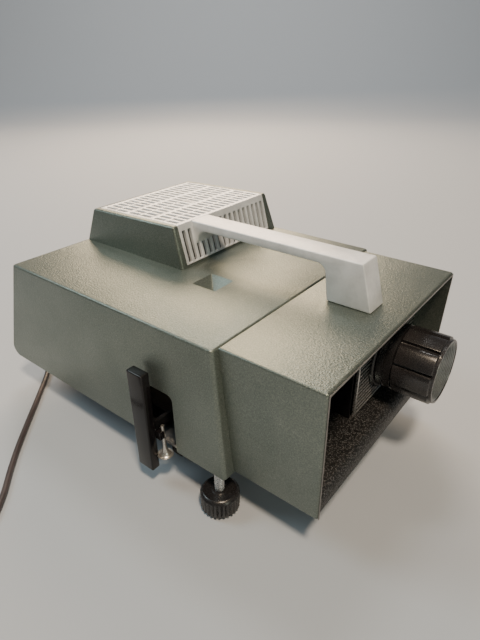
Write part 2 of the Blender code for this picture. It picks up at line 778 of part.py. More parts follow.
def make_base_plate():
    """Sheet base in both casings, with vents under the lamp and holes for the front screws."""
    low = FLOOR_GAP + BASE_INSET
    high = low + BASE_THICKNESS
    wide = HALF - WALL - GAP
    behind_step = seam_y(low) + WALL + SEAM_LEAN / 4 + GAP
    past_step = seam_y(high) - SEAM_LEAN / 4 - GAP
    neck = FLANGE_HALF - GAP
    front = rim_y(low) + PAN_SETBACK + PAN_THICKNESS + GAP
    tail = REAR_LEAN - TAIL_RADIUS - WALL
    base = block("base_plate", (-wide, behind_step, low), (wide, tail, high))
    middle = block("middle", (-neck, past_step - BASE_NECK, low), (neck, behind_step + BASE_NECK, high))
    ahead = hood_room("ahead", low, high, past_step, front, GAP)
    base = join(base, middle, ahead)
    vents = []
    pitch = (HOUSE_FRONT - HOUSE_REAR) / LAMP_VENT_COUNT
    for index in range(LAMP_VENT_COUNT):
        y = -HOUSE_FRONT + pitch * (index + 0.5)
        vents.append(block("vent", (AXIS_X - LAMP_VENT_LENGTH / 2, y - LAMP_VENT_WIDTH / 2, low - OVERRUN),
                           (AXIS_X + LAMP_VENT_LENGTH / 2, y + LAMP_VENT_WIDTH / 2, high + OVERRUN)))
    base = cut(base, together("vents", vents))
    for side in (-1, 1):
        base = cut(base, upright("screw_hole", SCREW_RADIUS + 2 * GAP, side * FRONT_FOOT_X, FRONT_FOOT_Y,
                                 low - OVERRUN, high + OVERRUN, 24))
    return finish(base, "base_plate", "zinc_sheet")


def upright(name, radius, x, y, low, high, sides=32):
    return cylinder(name, radius, (x, y, low), (x, y, high), sides)


def along_axis(name, radius, rear, front, sides=48, end_radius=None):
    """A cylinder on the optical axis, between two distances ahead of the working origin."""
    return cylinder(name, radius, (AXIS_X, -rear, AXIS_Z), (AXIS_X, -front, AXIS_Z), sides, end_radius)


def lens_turned(name, profile, rear, sides=48):
    """A profile turned on the optical axis, its height measured forward from a rear distance."""
    return turned(name, profile, (AXIS_X, -rear, AXIS_Z), (0, -1, 0), sides)


def make_front_pan():
    """Pebbled floor of the front opening, with a lip turned down to the casing's lower edge."""
    low = FLOOR_GAP + FRONT_RISE + GAP
    front = rim_y(PAN_TOP) + PAN_SETBACK
    rear = seam_y(PAN_TOP) - GAP
    pan = block("front_pan", (-HALF, front, PAN_TOP - PAN_THICKNESS), (HALF, rear, PAN_TOP))
    lip = block("lip", (-HALF, front, low), (HALF, front + PAN_THICKNESS, PAN_TOP - PAN_THICKNESS / 2))
    pan = join(pan, lip)
    pan = keep_common(pan, hood_room("room", low - OVERRUN, TOP, rear + OVERRUN, front - OVERRUN, GAP))
    return finish(pan, "front_pan", "black_sheet")


def make_channel():
    """Straight channel that the slide tray runs in, on two cross walls, with a gap for the changer."""
    floor_low = PAN_TOP - PAN_THICKNESS
    floor_middle = PAN_TOP - PAN_THICKNESS / 2
    front = seam_y(PAN_TOP) + GAP
    rear_top = rear_y(TOP) - WALL - CHANNEL_REAR_MARGIN
    left = -(FLANGE_HALF - GAP)
    right = CHANNEL_EDGE_X + SHEET
    wall_top = TOP - CHANNEL_WALL_DROP
    nose = -PLATE_FRONT + PLATE_THICKNESS + GAP
    outline = [(nose, wall_top), (nose, PAN_TOP + GAP), (front + SHEET, PAN_TOP + GAP),
               (front + SHEET, floor_middle), (rear_top - SHEET, floor_middle), (rear_top - SHEET, wall_top)]
    channel = join(side_plate("magazine_channel", outline, CHANNEL_EDGE_X, right),
                   block("floor", (left, front, floor_low), (CHANNEL_EDGE_X + SHEET / 2, rear_top, PAN_TOP)))
    for y in (front + CHANNEL_LEG_INSET, rear_top - CHANNEL_LEG_INSET):
        channel = join(channel, block("leg", (left + SHEET, y - PAN_THICKNESS / 2, BASE_TOP + GAP),
                                      (CHANNEL_EDGE_X, y + PAN_THICKNESS / 2, floor_middle)))
    doorway = block("doorway", (CHANNEL_EDGE_X - OVERRUN, -CARRIAGE_FRONT - DOOR_SLACK, PAN_TOP + GAP),
                    (right + OVERRUN, -CARRIAGE_FRONT + CARRIAGE_THICKNESS + DOOR_SLACK,
                     AXIS_Z + CARRIAGE_HALF_HEIGHT + DOOR_SLACK))
    return finish(cut(channel, doorway), "magazine_channel", "black_sheet")


def make_front_plate():
    """Upright plate in the front opening with fine level grooves, and the hole for the lens mount."""
    front = -PLATE_FRONT
    low = PAN_TOP + GAP
    high = TOP - WALL - PLATE_TOP_GAP
    count = int((high - low - 2 * RIB_BORDER) / RIB_PITCH)
    first = low + RIB_BORDER
    outline = [(front + PLATE_THICKNESS, low), (front + PLATE_THICKNESS, high), (front, high)]
    for index in range(count, 0, -1):
        z = first + RIB_PITCH * index
        outline += [(front, z), (front + RIB_DEPTH, z - RIB_PITCH / 4),
                    (front + RIB_DEPTH, z - RIB_PITCH / 2), (front, z - RIB_PITCH * RIB_LAND_SHARE)]
    outline.append((front, low))
    piece = side_plate("front_plate", outline, PLATE_LEFT, HALF)
    piece = keep_common(piece, hood_room("room", low - OVERRUN, high + OVERRUN, front + 2 * PLATE_THICKNESS,
                                         front - OVERRUN, GAP))
    piece = cut(piece, along_axis("mount_hole", MOUNT_RADIUS + GAP, PLATE_FRONT - 2 * PLATE_THICKNESS,
                                  PLATE_FRONT + OVERRUN, 32))
    return finish(piece, "front_plate", "black_sheet")


def make_lens():
    """Lens mount, the barrel with its glasses, and the fluted focusing ring."""
    flange_rear = PLATE_FRONT + GAP
    flange_front = flange_rear + MOUNT_FLANGE
    length = flange_front - MOUNT_REAR
    shoulder = flange_rear - MOUNT_REAR
    mount = lens_turned("lens_mount", [
        (MOUNT_FLANGE_RADIUS - EDGE_ROUND / 2, length), (MOUNT_FLANGE_RADIUS, length - EDGE_ROUND / 2),
        (MOUNT_FLANGE_RADIUS, shoulder), (MOUNT_RADIUS, shoulder), (MOUNT_RADIUS, 0), (MOUNT_BORE, 0),
        (MOUNT_BORE, length)], MOUNT_REAR, 32)
    finish(mount, "lens_mount", "black_sheet")

    barrel_pivot = pivot_at("focus_slide_axis", (AXIS_X, -BARREL_REAR, AXIS_Z))
    collar_rear = flange_front + GAP - BARREL_REAR
    collar_front = RING_REAR - GAP - BARREL_REAR
    total = BARREL_FRONT - BARREL_REAR
    front_seat = BARREL_FRONT - GLASS_SETBACK - BARREL_REAR
    rear_seat = GLASS_SETBACK
    barrel = lens_turned("lens_barrel", [
        (BARREL_RADIUS, total), (BARREL_RADIUS, collar_front), (COLLAR_RADIUS, collar_front),
        (COLLAR_RADIUS, collar_rear), (BARREL_RADIUS, collar_rear), (BARREL_RADIUS, 0),
        (GLASS_RADIUS + GAP, 0), (GLASS_RADIUS + GAP, rear_seat + GLASS_EDGE + GAP),
        (BARREL_BORE, rear_seat + GLASS_EDGE + GAP), (BARREL_BORE, front_seat - GLASS_EDGE - GAP),
        (GLASS_RADIUS + GAP, front_seat - GLASS_EDGE - GAP), (GLASS_RADIUS + GAP, total)], BARREL_REAR, 32)
    finish(barrel, "lens_barrel", "black_sheet", barrel_pivot)

    crown = dome(GLASS_RADIUS, GLASS_BULGE, GLASS_EDGE, 4)
    glass = lens_turned("lens_glass_front", crown, BARREL_REAR + front_seat - GLASS_EDGE, 24)
    finish(glass, "lens_glass_front", "glass", barrel_pivot)
    flat_y = -(BARREL_REAR + rear_seat + GLASS_EDGE)
    glass = turned("lens_glass_rear", crown, (AXIS_X, flat_y, AXIS_Z), (0, 1, 0), 24)
    finish(glass, "lens_glass_rear", "glass", barrel_pivot)

    ring_pivot = pivot_at("focus_ring_axis", (AXIS_X, -RING_REAR, AXIS_Z), barrel_pivot)
    tip = RING_FRONT + RIM_LENGTH - RING_REAR
    ribs_front = RING_FRONT - RIM_LENGTH - RING_REAR
    stop = BARREL_FRONT + GAP - RING_REAR
    cone_start = stop + CONE_SHOULDER
    ring = lens_turned("focus_ring", [
        (RING_RIM_RADIUS, tip), (RING_RIM_RADIUS, ribs_front + RIM_LENGTH), (RING_RADIUS, ribs_front),
        (RING_RADIUS, RIM_LENGTH), (RING_RADIUS - RIM_LENGTH, 0), (BARREL_RADIUS + GAP, 0),
        (BARREL_RADIUS + GAP, stop), (CONE_THROAT, stop), (CONE_THROAT, cone_start), (CONE_MOUTH, tip)],
        RING_REAR, 54)
    chord = 2 * math.pi * RING_RADIUS / RING_RIBS * RING_GROOVE_SHARE
    groove_radius = (chord ** 2 / 4 + RING_GROOVE_DEPTH ** 2) / (2 * RING_GROOVE_DEPTH)
    reach = RING_RADIUS - RING_GROOVE_DEPTH + groove_radius
    grooves = []
    for index in range(RING_RIBS):
        angle = 2 * math.pi * index / RING_RIBS
        x = AXIS_X + reach * math.cos(angle)
        z = AXIS_Z + reach * math.sin(angle)
        grooves.append(cylinder("groove", groove_radius, (x, -RING_REAR + OVERRUN, z),
                                (x, -RING_REAR - ribs_front + RIM_LENGTH, z), 16))
    ring = cut(ring, together("grooves", grooves))
    finish(ring, "focus_ring", "black_plastic", ring_pivot)


def dome(radius, bulge, edge, steps):
    """Profile of a plano-convex glass, its flat face at height zero."""
    curve = (radius ** 2 + bulge ** 2) / (2 * bulge)
    profile = []
    for step in range(steps + 1):
        r = radius * step / steps
        profile.append((r, edge + bulge - curve + math.sqrt(curve ** 2 - r ** 2)))
    return profile + [(radius, 0), (0, 0)]


def make_gate():
    """Slide gate: the fixed plate with its window, in front of the carriage."""
    low = BASE_TOP + GAP
    high = AXIS_Z + CARRIAGE_HALF_HEIGHT + STAGE_MARGIN
    rear = -STAGE_FRONT + STAGE_THICKNESS
    gate = block("slide_gate", (AXIS_X - STAGE_HALF_WIDTH, -STAGE_FRONT, low),
                 (AXIS_X + STAGE_HALF_WIDTH, rear, high))
    window = block("window", (AXIS_X - STAGE_WINDOW / 2, -STAGE_FRONT - OVERRUN, AXIS_Z - STAGE_WINDOW / 2),
                   (AXIS_X + STAGE_WINDOW / 2, rear + OVERRUN, AXIS_Z + STAGE_WINDOW / 2))
    return finish(cut(gate, window), "slide_gate", "zinc_sheet")


def make_condensers():
    """Tube on a foot with the two condenser glasses, their crowns facing each other."""
    length = HOLDER_FRONT - HOLDER_REAR
    seat = GAP + CONDENSER_EDGE + HOLDER_SHOULDER
    tube = lens_turned("condenser_holder", [
        (HOLDER_RADIUS, length), (HOLDER_RADIUS, 0), (HOLDER_BORE, 0), (HOLDER_BORE, seat),
        (HOLDER_BORE - HOLDER_SHOULDER, seat), (HOLDER_BORE - HOLDER_SHOULDER, length - seat),
        (HOLDER_BORE, length - seat), (HOLDER_BORE, length)], HOLDER_REAR, 28)
    foot = block("foot", (AXIS_X - HOLDER_FOOT_WIDTH / 2, -HOLDER_FRONT + HOLDER_SHOULDER, BASE_TOP + GAP),
                 (AXIS_X + HOLDER_FOOT_WIDTH / 2, -HOLDER_REAR - HOLDER_SHOULDER,
                  AXIS_Z - (HOLDER_RADIUS + HOLDER_BORE) / 2 + HOLDER_SHOULDER / 4))
    foot = cut(foot, along_axis("bore", (HOLDER_RADIUS + HOLDER_BORE) / 2, HOLDER_REAR - OVERRUN,
                                HOLDER_FRONT + OVERRUN, 28))
    finish(join(tube, foot), "condenser_holder", "zinc_sheet")
    profile = dome(CONDENSER_RADIUS, CONDENSER_BULGE, CONDENSER_EDGE, 5)
    finish(lens_turned("condenser_rear", profile, HOLDER_REAR + GAP, 24), "condenser_rear", "glass")
    front = turned("condenser_front", profile, (AXIS_X, -(HOLDER_FRONT - GAP), AXIS_Z), (0, 1, 0), 24)
    finish(front, "condenser_front", "glass")


def make_heat_glass():
    """Heat absorbing glass, dropped into a frame that is open at the top."""
    half = HEAT_FRAME_WIDTH / 2
    rear = -HEAT_GLASS_PLACE + HEAT_FRAME_THICKNESS / 2
    front = -HEAT_GLASS_PLACE - HEAT_FRAME_THICKNESS / 2
    glass_half = HEAT_GLASS_SIZE / 2
    rim = half - glass_half
    frame = block("heat_frame", (AXIS_X - half, front, BASE_TOP + GAP),
                  (AXIS_X + half, rear, AXIS_Z + glass_half))
    window = glass_half - rim / 2
    hole = block("hole", (AXIS_X - window, front - OVERRUN, AXIS_Z - window),
                 (AXIS_X + window, rear + OVERRUN, AXIS_Z + window))
    glass_front = -HEAT_GLASS_PLACE - HEAT_GLASS_THICKNESS / 2
    glass_rear = -HEAT_GLASS_PLACE + HEAT_GLASS_THICKNESS / 2
    slot = block("slot", (AXIS_X - glass_half - GAP, glass_front - GAP, AXIS_Z - glass_half - GAP),
                 (AXIS_X + glass_half + GAP, glass_rear + GAP, AXIS_Z + glass_half + OVERRUN))
    finish(cut(frame, hole, slot), "heat_frame", "zinc_sheet")
    glass = block("heat_glass", (AXIS_X - glass_half, glass_front, AXIS_Z - glass_half),
                  (AXIS_X + glass_half, glass_rear, AXIS_Z + glass_half))
    finish(glass, "heat_glass", "glass", smooth=False)


def make_lamp():
    """Lamp with its cap in a ceramic socket, and the mirror behind it."""
    place = (AXIS_X, -LAMP_PLACE, 0)
    low = BASE_TOP + GAP
    cap_low = AXIS_Z - LAMP_RADIUS - LAMP_NECK - LAMP_CAP_LENGTH
    cap_high = cap_low + LAMP_CAP_LENGTH
    socket_high = cap_low + LAMP_CAP_LENGTH * SOCKET_GRIP_SHARE
    bore_floor = cap_low - GAP
    socket = turned("lamp_socket", [
        (0, bore_floor), (LAMP_CAP_RADIUS + GAP, bore_floor), (LAMP_CAP_RADIUS + GAP, socket_high),
        (SOCKET_RADIUS, socket_high), (SOCKET_RADIUS, low + SOCKET_FLANGE_THICKNESS),
        (SOCKET_FLANGE, low + SOCKET_FLANGE_THICKNESS), (SOCKET_FLANGE, low), (0, low)],
        place, (0, 0, 1), 20)
    finish(socket, "lamp_socket", "ceramic")
    cap = upright("lamp_cap", LAMP_CAP_RADIUS, AXIS_X, -LAMP_PLACE, cap_low, cap_high, 28)
    finish(cap, "lamp_cap", "steel")
    profile = [(0, AXIS_Z + LAMP_RADIUS + LAMP_TIP)]
    steps = 8
    for step in range(1, steps):
        angle = math.pi / 2 - math.pi * 0.75 * step / steps
        lift = LAMP_TIP if angle > 0 else 0
        profile.append((LAMP_RADIUS * math.cos(angle), AXIS_Z + LAMP_RADIUS * math.sin(angle) + lift))
    neck_low = cap_high + GAP
    profile += [(LAMP_NECK_RADIUS, neck_low + LAMP_NECK / 2), (LAMP_NECK_RADIUS, neck_low), (0, neck_low)]
    finish(turned("lamp_bulb", profile, place, (0, 0, 1), 20), "lamp_bulb", "glass")

    sag = MIRROR_CURVE - math.sqrt(MIRROR_CURVE ** 2 - MIRROR_RADIUS ** 2)
    inner, outer = [], []
    steps = 4
    thick_curve = MIRROR_CURVE + MIRROR_THICKNESS
    for step in range(steps + 1):
        r = MIRROR_RADIUS * step / steps
        inner.append((r, MIRROR_CURVE - math.sqrt(MIRROR_CURVE ** 2 - r ** 2)))
        outer.append((r, MIRROR_CURVE - math.sqrt(thick_curve ** 2 - r ** 2)))
    profile = [*inner, *reversed(outer)]
    mirror = lens_turned("reflector", profile, MIRROR_PLACE, 24)
    post_front = -MIRROR_PLACE - sag + MIRROR_THICKNESS / 3
    post_rear = post_front + MIRROR_THICKNESS + sag / 2
    post = block("post", (AXIS_X - MIRROR_POST / 2, post_front, low),
                 (AXIS_X + MIRROR_POST / 2, post_rear, AXIS_Z - MIRROR_RADIUS + sag / 2))
    finish(join(mirror, post), "reflector", "steel")


def make_lamp_house():
    """Folded sheet shield round the lamp: two sides and a front wall with the light port."""
    left, right = AXIS_X - HOUSE_HALF_WIDTH, AXIS_X + HOUSE_HALF_WIDTH
    outline = [(left, -HOUSE_REAR), (left, -HOUSE_FRONT), (right, -HOUSE_FRONT), (right, -HOUSE_REAR),
               (right - SHEET, -HOUSE_REAR), (right - SHEET, -HOUSE_FRONT + SHEET),
               (left + SHEET, -HOUSE_FRONT + SHEET), (left + SHEET, -HOUSE_REAR)]
    house = level_plate("lamp_house", outline, BASE_TOP + GAP, TOP - WALL - HOUSE_TOP_DROP)
    port = along_axis("port", CONDENSER_RADIUS, HOUSE_FRONT - OVERRUN, HOUSE_FRONT + OVERRUN, 32)
    return finish(cut(house, port), "lamp_house", "zinc_sheet", smooth=False)


def make_fan():
    """Cooling fan: motor on a strap, and a bladed rotor on its shaft."""
    motor_length = MOTOR_FRONT - MOTOR_REAR
    shaft_tip = FAN_PLACE + FAN_HUB_LENGTH * SHAFT_GRIP_SHARE - MOTOR_REAR
    motor = lens_turned("fan_motor", [
        (0, shaft_tip), (MOTOR_SHAFT_RADIUS, shaft_tip), (MOTOR_SHAFT_RADIUS, motor_length),
        (MOTOR_RADIUS, motor_length), (MOTOR_RADIUS, 0), (0, 0)], MOTOR_REAR, 28)
    finish(motor, "fan_motor", "zinc_sheet")
    strap_front = -MOTOR_REAR + GAP
    strap = block("motor_bracket", (AXIS_X - BRACKET_WIDTH / 2, strap_front, BASE_TOP + GAP),
                  (AXIS_X + BRACKET_WIDTH / 2, strap_front + BRACKET_THICKNESS, AXIS_Z + MOTOR_RADIUS))
    toe = block("toe", (AXIS_X - BRACKET_WIDTH / 2, strap_front, BASE_TOP + GAP),
                (AXIS_X + BRACKET_WIDTH / 2, strap_front + BRACKET_TOE, BASE_TOP + GAP + BRACKET_THICKNESS))
    finish(join(strap, toe), "motor_bracket", "zinc_sheet", smooth=False)

    pivot = pivot_at("fan_axis", (AXIS_X, -FAN_PLACE, AXIS_Z))
    bore = MOTOR_SHAFT_RADIUS + GAP
    bore_depth = FAN_HUB_LENGTH * SHAFT_GRIP_SHARE + GAP
    rotor = lens_turned("fan_rotor", [
        (0, FAN_HUB_LENGTH), (FAN_HUB_RADIUS, FAN_HUB_LENGTH), (FAN_HUB_RADIUS, 0), (bore, 0),
        (bore, bore_depth), (0, bore_depth)], FAN_PLACE, 28)
    middle = Matrix.Translation((AXIS_X, -FAN_PLACE - FAN_HUB_LENGTH / 2, AXIS_Z))
    half_chord = FAN_HUB_LENGTH / 2 / math.cos(FAN_BLADE_TWIST) - FAN_BLADE_THICKNESS
    for index in range(FAN_BLADES):
        blade = block("blade", (-FAN_BLADE_THICKNESS / 2, -half_chord, FAN_HUB_RADIUS - FAN_HUB_LENGTH / 3),
                      (FAN_BLADE_THICKNESS / 2, half_chord, FAN_RADIUS))
        turn = Matrix.Rotation(2 * math.pi * index / FAN_BLADES, 4, "Y")
        twist = Matrix.Rotation(FAN_BLADE_TWIST, 4, "Z")
        blade.data.transform(middle @ turn @ twist)
        rotor = join(rotor, blade)
    finish(rotor, "fan_rotor", "black_plastic", pivot)


def make_transformer():
    """Laminated core with two windows and one winding on its middle leg."""
    low = BASE_TOP + GAP
    middle_y = -(CORE_FRONT + CORE_REAR) / 2
    middle_z = low + CORE_HEIGHT / 2
    leg_half = CORE_LEG
    window_high = middle_z + CORE_HEIGHT / 2 - CORE_LEG
    window_low = middle_z - CORE_HEIGHT / 2 + CORE_LEG
    core = block("transformer_core", (CORE_LEFT, -CORE_FRONT, low),
                 (CORE_LEFT + CORE_WIDTH, -CORE_REAR, low + CORE_HEIGHT))
    for side in (-1, 1):
        near = middle_y + side * leg_half
        far = middle_y + side * ((CORE_FRONT - CORE_REAR) / 2 - CORE_LEG)
        window = block("window", (CORE_LEFT - OVERRUN, min(near, far), window_low),
                       (CORE_LEFT + CORE_WIDTH + OVERRUN, max(near, far), window_high))
        core = cut(core, window)
    finish(core, "transformer_core", "zinc_sheet", smooth=False)
    reach = (CORE_FRONT - CORE_REAR) / 2 - CORE_LEG - GAP
    winding = block("transformer_winding", (CORE_LEFT - WINDING_PROUD, middle_y - reach, window_low + GAP),
                    (CORE_LEFT + CORE_WIDTH + WINDING_PROUD, middle_y + reach, window_high - GAP))
    hole = block("hole", (CORE_LEFT - GAP, middle_y - leg_half - GAP, window_low - OVERRUN),
                 (CORE_LEFT + CORE_WIDTH + GAP, middle_y + leg_half + GAP, window_high + OVERRUN))
    finish(cut(winding, hole), "transformer_winding", "copper", smooth=False)


def make_grille():
    """Cast vent grille and carrying handle in one piece."""
    outline = hump_shell_outline(0, WALL, FRONT_SLOT_BOTTOM / 2 + GAP)
    grille = side_plate("vent_grille", outline, GRILLE_LEFT, GRILLE_RIGHT)
    rear_end = outline[0][0]
    front_top_y = -HUMP_LENGTH + HUMP_FRONT_SLOPE
    pitch = (GRILLE_RIGHT - GRILLE_LEFT - SLOT_EDGE) / SLOT_COLUMNS
    slotted_length = rear_end - SLOT_END - (front_top_y + SLOT_FRONT_END)
    band_length = (slotted_length - BAND_BAR * (TOP_BANDS - 1)) / TOP_BANDS
    half_length = (band_length - HALF_BAR) / 2
    slots = []
    for column in range(SLOT_COLUMNS):
        x = GRILLE_LEFT + SLOT_EDGE / 2 + pitch * (column + 0.5)
        low_x, high_x = x - SLOT_WIDTH / 2, x + SLOT_WIDTH / 2
        y = rear_end - SLOT_END
        for band in range(TOP_BANDS):
            for half in range(2):
                slots.append(block("slot", (low_x, y - half_length, TOP + HUMP_REAR_HEIGHT - WALL - OVERRUN),
                                   (high_x, y, TOP + HUMP_FRONT_HEIGHT + OVERRUN)))
                y -= half_length + HALF_BAR
            y -= BAND_BAR - HALF_BAR
        slot_low = (low_x, front_top_y - HUMP_FRONT_SLOPE - OVERRUN, TOP + FRONT_SLOT_BOTTOM)
        slot_high = (high_x, front_top_y + WALL + OVERRUN / 2, TOP + HUMP_FRONT_HEIGHT - FRONT_SLOT_TOP)
        slots.append(block("slot", slot_low, slot_high))
    grille = cut(grille, together("slots", slots))

    high = TOP + HUMP_FRONT_HEIGHT - HANDLE_DIP
    under = high - HANDLE_DEPTH
    low = TOP + GAP
    inside_y = front_top_y + WALL * HANDLE_ROOT_SHARE
    slope = HUMP_FRONT_SLOPE / HUMP_FRONT_HEIGHT
    gusset_z = under - GUSSET_DEPTH
    gusset_y = front_top_y - slope * (high - gusset_z)
    profile = [(inside_y, high), (-HANDLE_REACH, high), (-BLOCK_FRONT, low), (-BLOCK_REAR, low)]
    fillet = arc((-BLOCK_TOP_REAR + HANDLE_FILLET, under - HANDLE_FILLET), HANDLE_FILLET, 180, 90, 4)
    profile += fillet
    profile += [(gusset_y - GUSSET_LENGTH, under), (gusset_y + WALL * HANDLE_ROOT_SHARE, gusset_z)]
    bar = side_plate("handle", profile, HANDLE_OFFSET - HANDLE_WIDTH / 2, HANDLE_OFFSET + HANDLE_WIDTH / 2)
    return finish(join(grille, bar), "vent_grille", "cast_aluminium")


def make_changer():
    """Changer handle outside the casing, its arm with the slide carriage, and the rail they run on."""
    bar_middle = (-BAR_OUTER + BAR_THICKNESS / 2, -(BAR_REAR + BAR_FRONT) / 2, PAN_TOP + ARM_LIFT)
    pivot = pivot_at("changer_axis", bar_middle)
    bar = block("changer_handle", (-BAR_OUTER, -BAR_FRONT, FLOOR_GAP - BAR_BELOW),
                (-BAR_OUTER + BAR_THICKNESS, -BAR_REAR, TOP - BAR_TOP_DROP))
    finish(bevel(bar, BAR_ROUND), "changer_handle", "black_plastic", pivot)

    rear = -CARRIAGE_FRONT + CARRIAGE_THICKNESS
    middle = -CARRIAGE_FRONT + CARRIAGE_THICKNESS / 2
    arm_low = PAN_TOP + ARM_LIFT
    frame_low = AXIS_Z - CARRIAGE_HALF_HEIGHT
    carriage = block("changer_carriage", (AXIS_X - CARRIAGE_HALF_WIDTH, -CARRIAGE_FRONT, frame_low),
                     (AXIS_X + CARRIAGE_HALF_WIDTH, rear, AXIS_Z + CARRIAGE_HALF_HEIGHT))
    window = block("window", (AXIS_X - CARRIAGE_WINDOW, -CARRIAGE_FRONT - OVERRUN, AXIS_Z - CARRIAGE_WINDOW),
                   (AXIS_X + CARRIAGE_WINDOW, rear + OVERRUN, AXIS_Z + CARRIAGE_WINDOW))
    slot_top = AXIS_Z + CARRIAGE_HALF_HEIGHT + OVERRUN
    slot = block("slot", (AXIS_X - CARRIAGE_SLOT_HALF, middle - CARRIAGE_SLOT / 2, AXIS_Z - CARRIAGE_SLOT_HALF),
                 (AXIS_X + CARRIAGE_SLOT_HALF, middle + CARRIAGE_SLOT / 2, slot_top))
    carriage = cut(carriage, window, slot)
    arm = block("arm", (-BAR_OUTER + BAR_THICKNESS + GAP, middle - ARM_THICKNESS / 2, arm_low),
                (AXIS_X + CARRIAGE_HALF_WIDTH, middle + ARM_THICKNESS / 2, frame_low + ARM_THICKNESS / 2))
    arm = cut(arm, block("arm_gap", (AXIS_X - CARRIAGE_SLOT_HALF, middle - ARM_THICKNESS, frame_low - GAP),
                         (AXIS_X + CARRIAGE_SLOT_HALF, middle + ARM_THICKNESS, frame_low + ARM_THICKNESS)))
    finish(join(carriage, arm), "changer_carriage", "black_sheet", pivot)

    rail_low = PAN_TOP + 2 * GAP
    half = ARM_THICKNESS / 2 + GAP + RAIL_SHEET
    left, right = -RAIL_LEFT, AXIS_X + CARRIAGE_HALF_WIDTH
    rail = block("changer_rail", (left, middle - half, rail_low), (right, middle + half, arm_low + RAIL_LIP))
    groove = block("groove", (left - OVERRUN, middle - ARM_THICKNESS / 2 - GAP, arm_low - GAP),
                   (right + OVERRUN, middle + ARM_THICKNESS / 2 + GAP, arm_low + RAIL_LIP + OVERRUN))
    rail = cut(rail, groove)
    leg = block("leg", (right - RAIL_LEG, middle - half, BASE_TOP + GAP),
                (right, middle + half, rail_low + RAIL_SHEET / 2))
    finish(join(rail, leg), "changer_rail", "zinc_sheet", smooth=False)


def make_feet():
    """Two front screw feet, each a knob and screw on a swivel pad, and two fixed rear feet."""
    low = FLOOR_GAP + BASE_INSET
    for side, word in ((-1, "left"), (1, "right")):
        x, y = side * FRONT_FOOT_X, FRONT_FOOT_Y
        bush_low = BASE_TOP + GAP
        outer = HALF - WALL - GAP
        inner = FRONT_FOOT_X - BUSH_HALF
        bush = block("bush", (min(side * outer, side * inner), y - BUSH_HALF, bush_low),
                     (max(side * outer, side * inner), y + BUSH_HALF, bush_low + BUSH_HEIGHT))
        bush = cut(bush, upright("bore", SCREW_RADIUS + GAP, x, y, bush_low - OVERRUN,
                                 bush_low + BUSH_HEIGHT + OVERRUN, 24))
        finish(bush, "foot_bush_" + word, "zinc_sheet")

        pad_pivot = pivot_at("foot_slide_" + word, (x, y, 0))
        pin_top = PAD_HEIGHT + PAD_PIN_HEIGHT
        pad = turned("foot_pad", [
            (0, pin_top), (PAD_PIN_RADIUS, pin_top), (PAD_PIN_RADIUS, PAD_HEIGHT), (PAD_RADIUS, PAD_HEIGHT),
            (PAD_RADIUS, 0), (0, 0)], (x, y, 0), (0, 0, 1), 24)
        finish(pad, "foot_pad_" + word, "rubber", pad_pivot)
        knob_pivot = pivot_at("foot_screw_" + word, (x, y, PAD_HEIGHT + GAP), pad_pivot)
        knob_low = PAD_HEIGHT + GAP
        knob_high = knob_low + KNOB_HEIGHT
        bore = PAD_PIN_RADIUS + GAP
        bore_high = pin_top + GAP
        screw_top = low + BASE_THICKNESS + SCREW_REACH
        knob = turned("foot_knob", [
            (0, screw_top), (SCREW_RADIUS - GAP, screw_top), (SCREW_RADIUS, screw_top - GAP),
            (SCREW_RADIUS, knob_high), (KNOB_RADIUS - KNOB_DOME, knob_high),
            (KNOB_RADIUS, knob_high - KNOB_DOME), (KNOB_RADIUS, knob_low + KNOB_DOME / 2), (KNOB_RADIUS - KNOB_DOME / 2, knob_low),
            (bore, knob_low), (bore, bore_high), (0, bore_high)], (x, y, 0), (0, 0, 1), 28)
        flutes = []
        for index in range(KNOB_FLUTES):
            angle = 2 * math.pi * index / KNOB_FLUTES
            flute_x = x + KNOB_RADIUS * math.cos(angle)
            flute_y = y + KNOB_RADIUS * math.sin(angle)
            flutes.append(upright("flute", KNOB_FLUTE_RADIUS, flute_x, flute_y, knob_low - OVERRUN,
                                  knob_high + OVERRUN, 8))
        knob = cut(knob, together("flutes", flutes))
        finish(knob, "foot_knob_" + word, "black_plastic", knob_pivot)

        high = low - GAP
        rear_foot = turned("rear_foot", [
            (0, high), (REAR_FOOT_NECK, high), (REAR_FOOT_NECK, REAR_FOOT_PAD),
            (REAR_FOOT_RADIUS, REAR_FOOT_PAD * REAR_PAD_SHARE), (REAR_FOOT_RADIUS, 0), (0, 0)],
            (side * REAR_FOOT_X, REAR_FOOT_Y, 0), (0, 0, 1), 24)
        finish(rear_foot, "rear_foot_" + word, "rubber")


